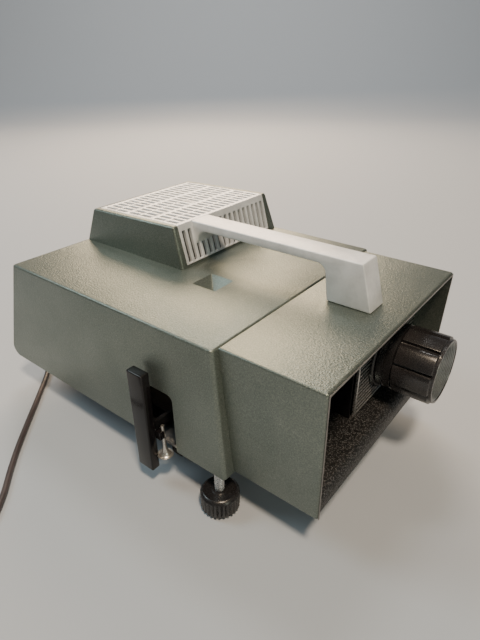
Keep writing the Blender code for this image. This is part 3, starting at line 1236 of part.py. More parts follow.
def make_switch():
    """Rocker switch let into the rear wall: a frame with a pocket, and the rocker in it."""
    half_x, half_y = SWITCH_WIDTH / 2, SWITCH_LENGTH / 2
    frame = wall_block("switch_frame", SWITCH_X, SWITCH_PLACE, half_x, half_y, -SWITCH_DEPTH,
                       SWITCH_FRAME_PROUD)
    bezel = wall_block("bezel", SWITCH_X, SWITCH_PLACE, half_x + SWITCH_FRAME, half_y + SWITCH_FRAME, GAP,
                       SWITCH_FRAME_PROUD)
    pocket = wall_block("pocket", SWITCH_X, SWITCH_PLACE, half_x - SWITCH_FRAME, half_y - SWITCH_FRAME,
                        -SWITCH_DEPTH + SWITCH_FRAME, OVERRUN)
    finish(cut(join(frame, bezel), pocket), "switch_frame", "black_plastic", smooth=False)
    matrix = wall_matrix(SWITCH_X, SWITCH_PLACE)
    pivot = pivot_at("switch_axis", matrix.translation)
    key_half_x = half_x - SWITCH_FRAME - GAP
    key_half_y = half_y - SWITCH_FRAME - ROCKER_SLACK
    deep = -SWITCH_DEPTH / 3
    outline = [(-key_half_y, deep), (key_half_y, deep), (key_half_y, ROCKER_PROUD), (0, ROCKER_PROUD / 2),
               (-key_half_y, ROCKER_PROUD)]
    rocker = side_plate("rocker", outline, -key_half_x, key_half_x)
    rocker.data.transform(matrix @ Matrix.Rotation(-ROCKER_ANGLE, 4, "X"))
    finish(rocker, "switch_rocker", "black_plastic", pivot, smooth=False)


def make_gland():
    """Cord gland through the rear wall with its tapering strain relief."""
    inner = -WALL - GLAND_FLANGE
    profile = [(0, GLAND_LENGTH), (GLAND_TIP_RADIUS, GLAND_LENGTH), (GLAND_NECK_RADIUS, GLAND_FLANGE),
               (GLAND_FLANGE_RADIUS, GLAND_FLANGE), (GLAND_FLANGE_RADIUS, GAP), (GLAND_NECK_RADIUS, GAP),
               (GLAND_NECK_RADIUS, inner), (0, inner)]
    matrix = wall_matrix(GLAND_X, GLAND_PLACE)
    gland = turned("cord_gland", profile, matrix.translation, WALL_OUT, 20)
    return finish(gland, "cord_gland", "rubber")


def smooth_path(knots, spacing):
    """Points about a spacing apart on a smooth curve through the knots."""
    knots = [Vector(knot) for knot in knots]
    first = knots[0] * 2 - knots[1]
    last = knots[-1] * 2 - knots[-2]
    padded = [first, *knots, last]
    fine = []
    for index in range(1, len(padded) - 2):
        a, b, c, d = padded[index - 1:index + 3]
        for step in range(24):
            t = step / 24
            fine.append((b * 2 + (c - a) * t + (a * 2 - b * 5 + c * 4 - d) * t ** 2
                         + (b * 3 - a - c * 3 + d) * t ** 3) / 2)
    fine.append(knots[-1])
    total = sum((q - p).length for p, q in zip(fine, fine[1:]))
    count = max(2, round(total / spacing))
    points, travelled, target = [fine[0]], 0, total / count
    for p, q in zip(fine, fine[1:]):
        step = (q - p).length
        while travelled + step >= target and len(points) < count:
            points.append(p.lerp(q, (target - travelled) / step))
            target += total / count
        travelled += step
    points.append(fine[-1])
    return points


def tube(name, points, radius, resolution):
    curve = bpy.data.curves.new(name, "CURVE")
    curve.dimensions = "3D"
    curve.bevel_depth = radius
    curve.bevel_resolution = resolution
    curve.use_fill_caps = True
    spline = curve.splines.new("POLY")
    spline.points.add(len(points) - 1)
    for point, place in zip(spline.points, points):
        point.co = (*place, 1)
    return make_object(name, curve)


def coil_points():
    """One cord wound in towards the middle and out again a layer higher, with a straight run at each end."""
    step = CORD_DIAMETER + COIL_CLEARANCE
    turns_in = COIL_LOOPS / 2 - 0.25
    outer = COIL_OUTER_RADIUS
    low = CORD_RADIUS * (1 - COIL_CUT_SHARE)
    points = []
    count = round(COIL_LOOPS * COIL_POINTS)
    for index in range(count + 1):
        turn = COIL_LOOPS * index / count
        late = turn - turns_in
        if late <= 0:
            radius, climb = outer - step * turn, 0
        elif late < 0.5:
            share = late / 0.5
            radius = outer - step * (turns_in + late - 2 * late ** 2)
            climb = share * share * (3 - 2 * share)
        else:
            radius, climb = outer - step * (COIL_LOOPS - turn), 1
        angle = -math.pi / 2 - 2 * math.pi * turn
        x = COIL_PLACE[0] + radius * math.cos(angle)
        y = COIL_PLACE[1] + radius * math.sin(angle)
        points.append(Vector((x, y, low + step * climb)))
    lead = Vector((CORD_DIAMETER, 0, 0))
    return [points[0] + lead, *points, points[-1] - lead]


def least_gap(points):
    """Least clearance between stretches of the coil that are more than a quarter turn apart."""
    least = COIL_OUTER_RADIUS
    apart = COIL_POINTS // 3
    for i in range(len(points) - 1):
        a, b = points[i], points[i + 1]
        for j in range(i + apart, len(points) - 1):
            c, d = points[j], points[j + 1]
            for share in (0, 0.5):
                p = a.lerp(b, share)
                run = d - c
                t = max(0, min(1, (p - c).dot(run) / run.length_squared))
                least = min(least, (p - c - run * t).length)
    return least - CORD_DIAMETER


def under_table():
    """Cutter that gives the coil and the lead's end their flat undersides."""
    middle = Vector((*COIL_PLACE, 0))
    reach = Vector((2 * COIL_OUTER_RADIUS, 2 * COIL_OUTER_RADIUS, 0))
    return block("under_table", middle - reach - Vector((0, 0, OVERRUN)), middle + reach)


def make_cord():
    """Mains lead: a free stretch from the gland, a flat coil, and a short tail to the plug."""
    matrix = wall_matrix(GLAND_X, GLAND_PLACE)
    gland_tip = matrix.translation + WALL_OUT * (GLAND_LENGTH + GAP)
    coil = coil_points()
    print("coil clearance mm", round(least_gap(coil) * 1000, 3))
    knots = [gland_tip, gland_tip + WALL_OUT * (3 * CORD_DIAMETER), *LEAD_ROUTE,
             coil[0] + Vector((GAP, 0, 0))]
    lead = bake(tube("cord_lead", smooth_path(knots, 2.5 * CORD_DIAMETER), CORD_RADIUS, 2))
    finish(cut(lead, under_table()), "cord_lead", "cord_sheath")
    coiled = bake(tube("cord_coil", coil, CORD_RADIUS, 1))
    finish(cut(coiled, under_table()), "cord_coil", "cord_sheath")

    plug_neck = Vector((PLUG_PLACE[0], PLUG_PLACE[1], PLUG_RADIUS))
    knots = [coil[-1] - Vector((GAP, 0, 0)), *TAIL_ROUTE, plug_neck - Vector((0, 3 * CORD_DIAMETER, 0)),
             plug_neck - Vector((0, GAP, 0))]
    tail = bake(tube("cord_tail", smooth_path(knots, 2.5 * CORD_DIAMETER), CORD_RADIUS, 2))
    finish(tail, "cord_tail", "cord_sheath")
    body = PLUG_NECK_LENGTH + PLUG_BODY_LENGTH
    plug = turned("mains_plug", [
        (0, body), (PLUG_RADIUS, body), (PLUG_RADIUS, body - PLUG_BODY_LENGTH * PLUG_FACE_SHARE),
        (PLUG_WAIST_RADIUS, PLUG_NECK_LENGTH), (PLUG_NECK_RADIUS, PLUG_NECK_LENGTH - PLUG_NECK_RADIUS),
        (PLUG_NECK_RADIUS, 0), (0, 0)], plug_neck, (0, 1, 0), 28)
    for side in (-1, 1):
        root = plug_neck + Vector((side * PLUG_PIN_SPACING / 2, body - PLUG_PIN_RADIUS, 0))
        tip = root + Vector((0, PLUG_PIN_LENGTH + PLUG_PIN_RADIUS, 0))
        plug = join(plug, cylinder("pin", PLUG_PIN_RADIUS, root, tip, 12))
    finish(plug, "mains_plug", "black_plastic")


make_rear_housing()
make_front_housing()
make_base_plate()
make_front_pan()
make_channel()
make_front_plate()
make_lens()
make_gate()
make_condensers()
make_heat_glass()
make_lamp()
make_lamp_house()
make_fan()
make_transformer()
make_grille()
make_changer()
make_feet()
make_switch()
make_gland()
make_cord()
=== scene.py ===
from math import atan2, cos, degrees, hypot, pi, radians, sin, sqrt, tan

import bmesh
import bpy
from mathutils import Matrix, Vector


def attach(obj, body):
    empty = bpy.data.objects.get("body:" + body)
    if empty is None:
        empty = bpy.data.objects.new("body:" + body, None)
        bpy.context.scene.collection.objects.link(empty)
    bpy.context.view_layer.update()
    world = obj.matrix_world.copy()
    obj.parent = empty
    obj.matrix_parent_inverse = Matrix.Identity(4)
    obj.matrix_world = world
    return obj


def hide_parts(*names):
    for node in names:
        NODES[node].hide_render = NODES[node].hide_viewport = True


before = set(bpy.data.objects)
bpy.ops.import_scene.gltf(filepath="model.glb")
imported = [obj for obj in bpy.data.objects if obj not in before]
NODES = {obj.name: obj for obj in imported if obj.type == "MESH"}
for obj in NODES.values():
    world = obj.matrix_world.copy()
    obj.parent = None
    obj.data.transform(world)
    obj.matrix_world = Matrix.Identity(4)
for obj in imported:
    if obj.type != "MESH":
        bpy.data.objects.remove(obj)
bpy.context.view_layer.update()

# The drawing frame has Y zero on the casing's rear top edge; this moves it to the frame of the solids.
SHIFT = Vector((0.001825, 0.12259669, 0))

# Camera, from the photograph's perspective.
CAMERA_AZIMUTH = radians(-51.19)
CAMERA_ELEVATION = radians(29.44)
CAMERA_ROLL = radians(-0.79)
CAMERA_PLACE = (-0.27404, -0.25161, 0.28927)
CAMERA_FOCAL = 28.18
CAMERA_SENSOR = 36
CAMERA_NEAR = 0.01

# Paper sweep: flat as far as its start, then a quarter circle up and a wall.
SWEEP_START = 1.7
SWEEP_RADIUS = 1.1
SWEEP_REACH = 14
SWEEP_STEPS = 16
PAPER_COLOUR = (0.43, 0.46, 0.50)
PAPER_ROUGHNESS = 0.75

# Studio light: place, target, size, power and colour of each disk, and the room's faint glow.
MIDDLE = (0, 0, 0.06)
LIGHTS = {
    "key": ((-0.48, -0.66, 1.52), MIDDLE, 0.22, 25, (1.0, 0.80, 0.59)),
    "side": ((-0.62, 1.00, 1.20), MIDDLE, 0.70, 9, (0.84, 0.97, 1.0)),
    "front": ((-0.45, -1.50, 0.62), MIDDLE, 0.40, 3.0, (0.97, 1.0, 0.80)),
    "rim": ((1.10, 1.0, 0.98), MIDDLE, 1.2, 31, (1.0, 0.73, 0.48)),
    "backdrop": ((0.9, 0.7, 2.6), (2.2, 1.75, 0.7), 1.0, 46, (1.0, 0.97, 0.93)),
}
GLOW_COLOUR = (0.60, 0.86, 0.95)
GLOW_STRENGTH = 0.10

# Sizes that the visible pieces follow, as in the solids.
GAP = 0.0003
MERGE = GAP / 30
OVERRUN = 0.004
BODY_WIDTH = 0.200
BODY_HEIGHT = 0.100
REAR_LENGTH = 0.2113
FRONT_LENGTH = 0.0727
FLOOR_GAP = 0.0335
WALL = 0.0025
REAR_LEAN = 0.043
SEAM_LEAN = 0.0067
RIM_LEAN = 0.002
STEP_TOP = 0.0056
STEP_BOTTOM = 0.010
FRONT_RISE = 0.0015
AXIS_X = 0.0368
AXIS_DROP = 0.050
TOP = FLOOR_GAP + BODY_HEIGHT
HALF = BODY_WIDTH / 2
AXIS_Z = TOP - AXIS_DROP


def drop_share(z):
    return (TOP - z) / BODY_HEIGHT


def rear_y(z):
    return REAR_LEAN * drop_share(z)


def seam_y(z):
    return -REAR_LENGTH - SEAM_LEAN * drop_share(z)


def rim_y(z):
    return -(REAR_LENGTH + FRONT_LENGTH) + RIM_LEAN * drop_share(z)


def front_half(z):
    return HALF - STEP_TOP - (STEP_BOTTOM - STEP_TOP) * drop_share(z)


# Finishes, by name.
FINISHES = {}


class Surface:
    """A new material, with short ways to add the nodes that shade it."""

    def __init__(self, name):
        made = bpy.data.materials.new("finish_" + name)
        made.use_nodes = True
        FINISHES[name] = made
        self.tree = made.node_tree

    def feed(self, socket, value):
        """A socket takes another node's output, a colour or a number."""
        if isinstance(value, bpy.types.NodeSocket):
            self.tree.links.new(value, socket)
        elif socket.type == "RGBA":
            socket.default_value = (*value, 1)
        else:
            socket.default_value = value

    def add(self, kind, output, feeds, **settings):
        """Add a node, set it, feed its inputs and give back one output."""
        made = self.tree.nodes.new(kind)
        for key, value in settings.items():
            setattr(made, key, value)
        for key, value in feeds.items():
            self.feed(made.inputs[key], value)
        return made.outputs[output]

    def shade(self, feeds):
        shader = self.tree.nodes["Principled BSDF"]
        for key, value in feeds.items():
            self.feed(shader.inputs[key], value)

    def place(self, stretch=(1, 1, 1)):
        spot = self.add("ShaderNodeTexCoord", "Object", {})
        return self.add("ShaderNodeMapping", "Vector", {"Vector": spot, "Scale": stretch})

    def noise(self, spot, scale, detail=3, rough=0.5):
        feeds = {"Vector": spot, "Scale": scale, "Detail": detail, "Roughness": rough}
        return self.add("ShaderNodeTexNoise", "Fac", feeds)

    def cells(self, spot, scale):
        return self.add("ShaderNodeTexVoronoi", "Distance", {"Vector": spot, "Scale": scale})

    def ramp(self, value, *stops):
        made = self.tree.nodes.new("ShaderNodeValToRGB")
        elements = made.color_ramp.elements
        while len(elements) < len(stops):
            elements.new(0.5)
        for element, (place, colour) in zip(elements, stops):
            element.position = place
            element.color = (*colour, 1)
        self.feed(made.inputs["Fac"], value)
        return made.outputs["Color"]

    def remap(self, value, low, high, start=0.3, end=0.7):
        feeds = {"Value": value, "From Min": start, "From Max": end, "To Min": low, "To Max": high}
        return self.add("ShaderNodeMapRange", "Result", feeds)

    def calc(self, operation, first, second=0.0):
        return self.add("ShaderNodeMath", "Value", {0: first, 1: second}, operation=operation)

    def mix(self, factor, first, second, blend="MIX"):
        feeds = {"Factor": factor, 6: first, 7: second}
        return self.add("ShaderNodeMix", 2, feeds, data_type="RGBA", blend_type=blend)

    def bump(self, height, strength, distance):
        feeds = {"Strength": strength, "Distance": distance, "Height": height}
        self.shade({"Normal": self.add("ShaderNodeBump", "Normal", feeds)})


def toned(colour, factor, lift=0.0):
    return tuple(min(1, c * factor + lift) for c in colour)


def make_enamel():
    """Grey-green metallic enamel with a fine pebbled skin, dulled in patches and lightly marked."""
    made = Surface("enamel")
    spot = made.place()
    grain = made.noise(spot, 1050, 4, 0.60)
    base = made.ramp(grain, (0.28, (0.138, 0.163, 0.150)), (0.50, (0.194, 0.220, 0.198)),
                     (0.74, (0.290, 0.312, 0.276)))
    flakes = made.ramp(made.noise(spot, 1500, 2), (0.62, (0, 0, 0)), (0.74, (0.14, 0.14, 0.12)))
    stain = made.ramp(made.noise(spot, 22, 4, 0.6), (0.35, (0.86, 0.88, 0.86)), (0.65, (1.0, 1.0, 0.98)))
    tone = made.mix(1.0, made.mix(1.0, base, flakes, "ADD"), stain, "MULTIPLY")
    made.shade({"Base Color": tone, "Metallic": 0.78, "Roughness": made.remap(grain, 0.34, 0.46)})
    hollows = made.calc("MULTIPLY", made.cells(spot, 680), 0.7)
    made.bump(made.calc("SUBTRACT", grain, hollows), 0.42, 0.0004)


def make_casting():
    """Satin bare casting with fine grain, dull patches and faint drawn lines."""
    made = Surface("cast_aluminium")
    spot = made.place()
    tint = (0.84, 0.86, 0.88)
    lines = made.noise(made.place((1, 0.05, 1)), 1800, 2)
    patches = made.noise(spot, 60, 4, 0.65)
    mixed = made.calc("ADD", made.calc("MULTIPLY", lines, 0.5), made.calc("MULTIPLY", patches, 0.5))
    made.shade({"Base Color": made.ramp(patches, (0.30, toned(tint, 0.80)), (0.62, tint)), "Metallic": 0.32,
                "Roughness": made.remap(mixed, 0.30, 0.52)})
    made.bump(made.calc("ADD", made.noise(spot, 1500, 3, 0.6), lines), 0.25, 0.00008)


def make_crackle():
    """Black pebbled finish, the tops of its pebbles painted pale as highlights, as on the floor of the front
    opening.
    """
    made = Surface("pebbled_black")
    spot = made.place()
    cells = made.cells(spot, 820)
    grain = made.noise(spot, 1100, 3, 0.6)
    # Painted highlight: the pebble crests, highest in the bump, take a pale grey and the rest is near black.
    tone = made.ramp(cells, (0.24, (0.085, 0.085, 0.088)), (0.44, (0.003, 0.003, 0.003)))
    made.shade({"Base Color": tone, "Roughness": made.remap(grain, 0.30, 0.60)})
    made.bump(made.calc("SUBTRACT", grain, cells), 0.9, 0.0005)


def make_ribbed():
    """Satin black metal, its grooves painted near black as shade and its crests kept a lighter grey as
    painted sheen.
    """
    made = Surface("ribbed_black")
    spot = made.place()
    height = made.add("ShaderNodeSeparateXYZ", "Z", {"Vector": spot})
    across = made.add("ShaderNodeSeparateXYZ", "X", {"Vector": spot})
    first_rib = PAN_TOP + GAP + RIB_BORDER
    share = made.calc("FRACT", made.calc("DIVIDE", made.calc("SUBTRACT", height, first_rib), RIB_PITCH))
    # Painted shade and sheen: the grooves between the ribs take near black, while the crests and the plain
    # border keep the lighter crest grey.
    band = made.ramp(share, (0.16, (0, 0, 0)), (0.26, (1, 1, 1)), (0.78, (1, 1, 1)), (0.88, (0, 0, 0)))
    dark = made.calc("MULTIPLY", band, made.calc("GREATER_THAN", across, PLATE_LEFT + RIBS_START + SHIFT.x))
    grain = made.noise(spot, 900, 3, 0.6)
    crest = made.ramp(grain, (0.3, (0.50, 0.49, 0.48)), (0.7, (0.60, 0.59, 0.58)))
    made.shade({"Base Color": made.mix(dark, crest, (0.03, 0.03, 0.03)), "Metallic": 0.85,
                "Roughness": made.remap(grain, 0.24, 0.36)})
    made.bump(grain, 0.05, 0.0001)


def make_plain(name, colour, roughness, metallic=0.0, scale=900, bump=0.15, spread=0.10, depth=0.0001,
               shine=0.5):
    """A finish with fine grain in its colour, gloss and skin."""
    made = Surface(name)
    spot = made.place()
    grain = made.noise(spot, scale, 4, 0.6)
    patches = made.noise(spot, scale / 18, 3, 0.6)
    tone = made.ramp(patches, (0.3, toned(colour, 0.78)), (0.7, toned(colour, 1.18, 0.004)))
    made.shade({"Base Color": tone, "Metallic": metallic, "Specular IOR Level": shine,
                "Roughness": made.remap(grain, max(0.02, roughness - spread), roughness + spread)})
    made.bump(grain, bump, depth)


def make_glass(name, tint, coat):
    """Clear or tinted glass with a little dust, and a bluish coating."""
    made = Surface(name)
    dust = made.noise(made.place(), 260, 4, 0.65)
    made.shade({"Base Color": made.ramp(dust, (0.35, tint), (0.7, toned(tint, 1, 0.03))),
                "Transmission Weight": 1.0, "IOR": 1.52, "Coat Weight": coat, "Coat Tint": (0.75, 0.80, 1.0),
                "Roughness": made.remap(dust, 0.015, 0.045, 0.4, 0.8)})


def make_finishes():
    make_enamel()
    make_casting()
    make_crackle()
    make_ribbed()
    make_plain("matt_black", (0.005, 0.005, 0.006), 0.50, scale=1200, bump=0.25, shine=0.12)
    make_plain("gloss_black", (0.006, 0.005, 0.006), 0.16, bump=0.10, spread=0.08, shine=0.34)
    make_plain("grip_black", (0.018, 0.016, 0.017), 0.28, scale=1300, bump=0.35, spread=0.12, depth=0.00015,
               shine=0.7)
    make_plain("satin_black", (0.014, 0.013, 0.014), 0.30, scale=1000, bump=0.2, depth=0.00015)
    make_plain("rubber", (0.022, 0.021, 0.021), 0.72, scale=1300, bump=0.35)
    make_plain("sheath", (0.060, 0.045, 0.045), 0.42, bump=0.2)
    make_plain("plated_steel", (0.66, 0.66, 0.65), 0.26, metallic=1.0, scale=1400, bump=0.12)
    make_plain("bright_steel", (0.62, 0.60, 0.56), 0.30, metallic=0.85, scale=1400, bump=0.05, spread=0.06)
    # Zinc, made darker than bare zinc as painted shade, so the base plate seen through the side opening stays
    # dark.
    make_plain("zinc", (0.33, 0.34, 0.35), 0.42, metallic=0.95, scale=500)
    make_plain("mirror_metal", (0.86, 0.86, 0.86), 0.07, metallic=1.0, scale=300, bump=0.02, spread=0.03)
    make_plain("ceramic", (0.78, 0.74, 0.66), 0.55, bump=0.2)
    make_plain("copper_wire", (0.60, 0.25, 0.11), 0.32, metallic=0.6, scale=1600, bump=0.3)
    make_plain("satin_grey", (0.26, 0.28, 0.285), 0.34, metallic=0.7, scale=1400, bump=0.3)
    make_plain("bare_edge", (0.22, 0.21, 0.20), 0.38, metallic=0.7, scale=1200)
    make_glass("lens_glass", (0.90, 0.93, 0.96), 0.6)
    make_glass("heat_glass_tint", (0.72, 0.88, 0.84), 0.1)
    make_glass("bulb_glass", (0.97, 0.97, 0.96), 0.0)


# The carried-over solids that take each finish.
SOLIDS_IN = {
    "enamel": "rear_housing front_housing",
    "cast_aluminium": "vent_grille",
    "pebbled_black": "front_pan",
    "ribbed_black": "front_plate",
    # The changer's channel, gate, carriage and rail take near black, darkened as painted shade so the inside
    # of the side opening stays dark.
    "matt_black": "magazine_channel slide_gate changer_carriage changer_rail",
    "gloss_black": "focus_ring changer_handle switch_rocker",
    "satin_black": "lens_mount lens_barrel fan_rotor foot_knob_left foot_knob_right switch_frame mains_plug",
    "rubber": "foot_pad_left foot_pad_right rear_foot_left rear_foot_right cord_gland",
    "sheath": "cord_lead cord_coil cord_tail",
    "zinc": "base_plate condenser_holder heat_frame lamp_house fan_motor motor_bracket transformer_core "
            "foot_bush_left foot_bush_right",
    "plated_steel": "lamp_cap",
    "mirror_metal": "reflector",
    "ceramic": "lamp_socket",
    "copper_wire": "transformer_winding",
    "lens_glass": "lens_glass_front lens_glass_rear condenser_front condenser_rear",
    "heat_glass_tint": "heat_glass",
    "bulb_glass": "lamp_bulb",
}


def dress_nodes():
    """Every carried-over solid takes its own finish."""
    for finish_name, names in SOLIDS_IN.items():
        for name in names.split():
            node = NODES[name]
            if not node.material_slots:
                node.data.materials.append(FINISHES[finish_name])
            for piece_slot in node.material_slots:
                piece_slot.material = FINISHES[finish_name]


# Modelling helpers, in the drawing frame.
BEVEL_STEPS = 4
BEVEL_ANGLE = radians(28)


def link_new(name, data):
    made = bpy.data.objects.new(name, data)
    bpy.context.scene.collection.objects.link(made)
    return made


def from_bmesh(bm, fix=True):
    if fix:
        bmesh.ops.recalc_face_normals(bm, faces=bm.faces)
    mesh = bpy.data.meshes.new("piece")
    bm.to_mesh(mesh)
    bm.free()
    return link_new("piece", mesh)


def bake(piece):
    """The piece with its modifiers applied and its double points merged."""
    bm = bmesh.new()
    bm.from_object(piece, bpy.context.evaluated_depsgraph_get())
    bmesh.ops.remove_doubles(bm, verts=bm.verts, dist=MERGE)
    bpy.data.objects.remove(piece)
    return from_bmesh(bm, False)


def block(low, high):
    low, high = Vector(low), Vector(high)
    bm = bmesh.new()
    bmesh.ops.create_cube(bm, size=1)
    place = Matrix.Translation((low + high) / 2) @ Matrix.Diagonal((*(high - low), 1))
    bmesh.ops.transform(bm, matrix=place, verts=bm.verts)
    return from_bmesh(bm)


def tapered(corner):
    """A block with eight free corners; corner(x, y, z) gives each from the signs of its sides."""
    bm = bmesh.new()
    bmesh.ops.create_cube(bm, size=2)
    for vert in bm.verts:
        vert.co = Vector(corner(round(vert.co.x), round(vert.co.y), round(vert.co.z)))
    return from_bmesh(bm)


def axes_at(place, *axes):
    return Matrix.Translation(place) @ Matrix(axes).transposed().to_4x4()


def turn_to(direction):
    return Vector((0, 0, 1)).rotation_difference(Vector(direction)).to_matrix().to_4x4()


def cylinder(radius, start, end, sides=32):
    start, end = Vector(start), Vector(end)
    run = end - start
    bm = bmesh.new()
    bmesh.ops.create_cone(bm, cap_ends=True, segments=sides, radius1=radius, radius2=radius,
                          depth=run.length)
    bmesh.ops.transform(bm, matrix=Matrix.Translation((start + end) / 2) @ turn_to(run), verts=bm.verts)
    return from_bmesh(bm)


def loft(rings, matrix=Matrix(), closed=False):
    """Rings of points joined in turn: the last ring meets the first, or both ends are capped."""
    bm = bmesh.new()
    made = [[bm.verts.new(matrix @ Vector(point)) for point in ring] for ring in rings]
    for a, b in zip(made, made[1:] + (made[:1] if closed else [])):
        for i in range(len(a)):
            j = (i + 1) % len(a)
            bm.faces.new((a[i], a[j], b[j], b[i]))
    if not closed:
        bm.faces.new(made[0][::-1])
        bm.faces.new(made[-1])
    return from_bmesh(bm)


def prism(outline, low, high, place):
    """An outline pulled between two levels; place(u, v, w) gives each point."""
    bm = bmesh.new()
    near, far = ([bm.verts.new(place(u, v, level)) for u, v in outline] for level in (low, high))
    bm.faces.new(near)
    bm.faces.new(far[::-1])
    for i in range(len(outline)):
        j = (i + 1) % len(outline)
        bm.faces.new((near[j], near[i], far[i], far[j]))
    return from_bmesh(bm)


def side_prism(outline, x_low, x_high):
    return prism(outline, x_low, x_high, lambda y, z, x: (x, y, z))


def round_ring(radius_at, height, sides):
    """Points round the Z axis at a height; radius_at(angle) gives the radius."""
    ring = []
    for i in range(sides):
        angle = 2 * pi * i / sides
        radius = radius_at(angle)
        ring.append((radius * cos(angle), radius * sin(angle), height))
    return ring


def turned(profile, place, direction, sides, wave=lambda angle: 0):
    """A closed profile of radius and height turned about an axis; a third value takes off that much wave."""
    rings = []
    for radius, height, *depth in profile:
        rings.append(round_ring(lambda angle: radius - sum(depth) * wave(angle), height, sides))
    return loft(rings, Matrix.Translation(place) @ turn_to(direction), closed=True)


def boolean(piece, others, operation):
    for other in others:
        modifier = piece.modifiers.new("cut", "BOOLEAN")
        modifier.operation = operation
        modifier.solver = "EXACT"
        modifier.object = other
        piece = bake(piece)
        bpy.data.objects.remove(other)
    return piece


def cut(piece, *others):
    return boolean(piece, others, "DIFFERENCE")


def join(piece, *others):
    return boolean(piece, others, "UNION")


def together(pieces):
    bm = bmesh.new()
    for piece in pieces:
        bm.from_mesh(piece.data)
        bpy.data.objects.remove(piece)
    return from_bmesh(bm, False)


def bevel(piece, width, segments=3, share=None):
    """Round the sharp edges, or every edge by its own share of the width."""
    if share:
        mesh = piece.data
        weights = mesh.attributes.new("bevel_weight_edge", "FLOAT", "EDGE")
        for edge in mesh.edges:
            first, second = (mesh.vertices[index].co for index in edge.vertices)
            weights.data[edge.index].value = share(first, second)
    modifier = piece.modifiers.new("round", "BEVEL")
    modifier.width = width
    modifier.segments = segments
    modifier.limit_method = "WEIGHT" if share else "ANGLE"
    modifier.angle_limit = BEVEL_ANGLE
    modifier.use_clamp_overlap = True
    return bake(piece)


def arc(centre, radius, start, end, steps):
    points = []
    for step in range(steps + 1):
        angle = radians(start + (end - start) * step / steps)
        points.append((centre[0] + radius * cos(angle), centre[1] + radius * sin(angle)))
    return points


def smooth_step(value, low, high):
    share = max(0.0, min(1.0, (value - low) / (high - low)))
    return share * share * (3 - 2 * share)


def finish(piece, name, finish_name, body, replaced=None, smooth=38):
    """Give a piece its name, finish and body, in the frame of the solids."""
    piece.name = name
    piece.data.name = name
    piece.data.transform(Matrix.Translation(SHIFT))
    piece.data.materials.clear()
    piece.data.materials.append(FINISHES[finish_name])
    piece.data.shade_smooth()
    piece.data.set_sharp_from_angle(angle=radians(smooth))
    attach(piece, body)
    if replaced:
        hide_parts(replaced)


def add_camera():
    ca, sa = cos(CAMERA_AZIMUTH), sin(CAMERA_AZIMUTH)
    ce, se = cos(CAMERA_ELEVATION), sin(CAMERA_ELEVATION)
    back = Vector((sa * ce, -ca * ce, se))
    level = Vector((ca, sa, 0))
    upward = back.cross(level)
    right = level * cos(CAMERA_ROLL) + upward * sin(CAMERA_ROLL)
    up = upward * cos(CAMERA_ROLL) - level * sin(CAMERA_ROLL)
    camera = link_new("camera", bpy.data.cameras.new("camera"))
    camera.matrix_world = axes_at(CAMERA_PLACE, right, up, back)
    camera.data.sensor_width = CAMERA_SENSOR
    camera.data.lens = CAMERA_FOCAL
    camera.data.clip_start = CAMERA_NEAR
    bpy.context.scene.camera = camera


def add_floor():
    """Pale paper that runs flat under the object and sweeps up far behind it."""
    ahead = Vector((-sin(CAMERA_AZIMUTH), cos(CAMERA_AZIMUTH), 0))
    across = Vector((ahead.y, -ahead.x, 0))
    profile = [(-SWEEP_REACH, 0), (SWEEP_START, 0)]
    profile += arc((SWEEP_START, SWEEP_RADIUS), SWEEP_RADIUS, -90, 0, SWEEP_STEPS)[1:]
    profile.append((SWEEP_START + SWEEP_RADIUS, SWEEP_REACH / 2))
    bm = bmesh.new()
    rows = []
    for run, rise in profile:
        middle = ahead * run + Vector((0, 0, rise))
        rows.append([bm.verts.new(middle + across * side * SWEEP_REACH) for side in (-1, 1)])
    for near, far in zip(rows, rows[1:]):
        bm.faces.new((near[0], near[1], far[1], far[0]))
    floor = from_bmesh(bm, False)
    floor.name = "floor"
    floor.data.shade_smooth()
    Surface("floor_paper").shade({"Base Color": PAPER_COLOUR, "Roughness": PAPER_ROUGHNESS})
    floor.data.materials.append(FINISHES["floor_paper"])


def add_lights():
    for name, (place, target, size, power, colour) in LIGHTS.items():
        light = bpy.data.lights.new(name, "AREA")
        light.shape = "DISK"
        light.size = size
        light.energy = power
        light.color = colour
        lamp = link_new(name, light)
        lamp.location = place
        lamp.rotation_euler = (Vector(target) - Vector(place)).to_track_quat("-Z", "Y").to_euler()
    world = bpy.data.worlds.new("studio")
    bpy.context.scene.world = world
    world.use_nodes = True
    glow = world.node_tree.nodes["Background"]
    glow.inputs["Color"].default_value = (*GLOW_COLOUR, 1)
    glow.inputs["Strength"].default_value = GLOW_STRENGTH


# Mains lead.
CORD_DIAMETER = 0.0046
CORD_RADIUS = CORD_DIAMETER / 2
COIL_LOOPS = 8
COIL_POINTS = 24
COIL_RADIUS = 0.0385
COIL_CLEARANCE = 0.0007
COIL_PLACE = (-0.290, -0.066)
CLIMB_TURNS = 0.5
PATH_STEPS = 24
LEAD_ROUTE = (
    (0.0060, 0.0990, 0.0740), (-0.0040, 0.1150, 0.0530), (-0.0190, 0.1150, 0.0290),
    (-0.0340, 0.0950, 0.0110), (-0.0490, 0.0680, 0.0042), (-0.0770, 0.0316, 0.0028),
    (-0.1030, 0.0055, 0.0024), (-0.1270, -0.0175, 0.0024), (-0.1510, -0.0410, 0.0024),
    (-0.1680, -0.0590, 0.0024), (-0.1875, -0.0810, 0.0024), (-0.2070, -0.0970, 0.0024),
    (-0.2350, -0.1050, 0.0024), (-0.2620, -0.1050, 0.0024))
TAIL_ROUTE = ((-0.3110, -0.1030, 0.0062), (-0.3340, -0.0950, 0.0027), (-0.3500, -0.0740, 0.0030),
              (-0.3560, -0.0500, 0.0090))
PLUG_PLACE = (-0.356, -0.020)
PLUG_RADIUS = 0.0175
GLAND_X = 0.008
GLAND_RISE = 0.02885
GLAND_LENGTH = 0.030
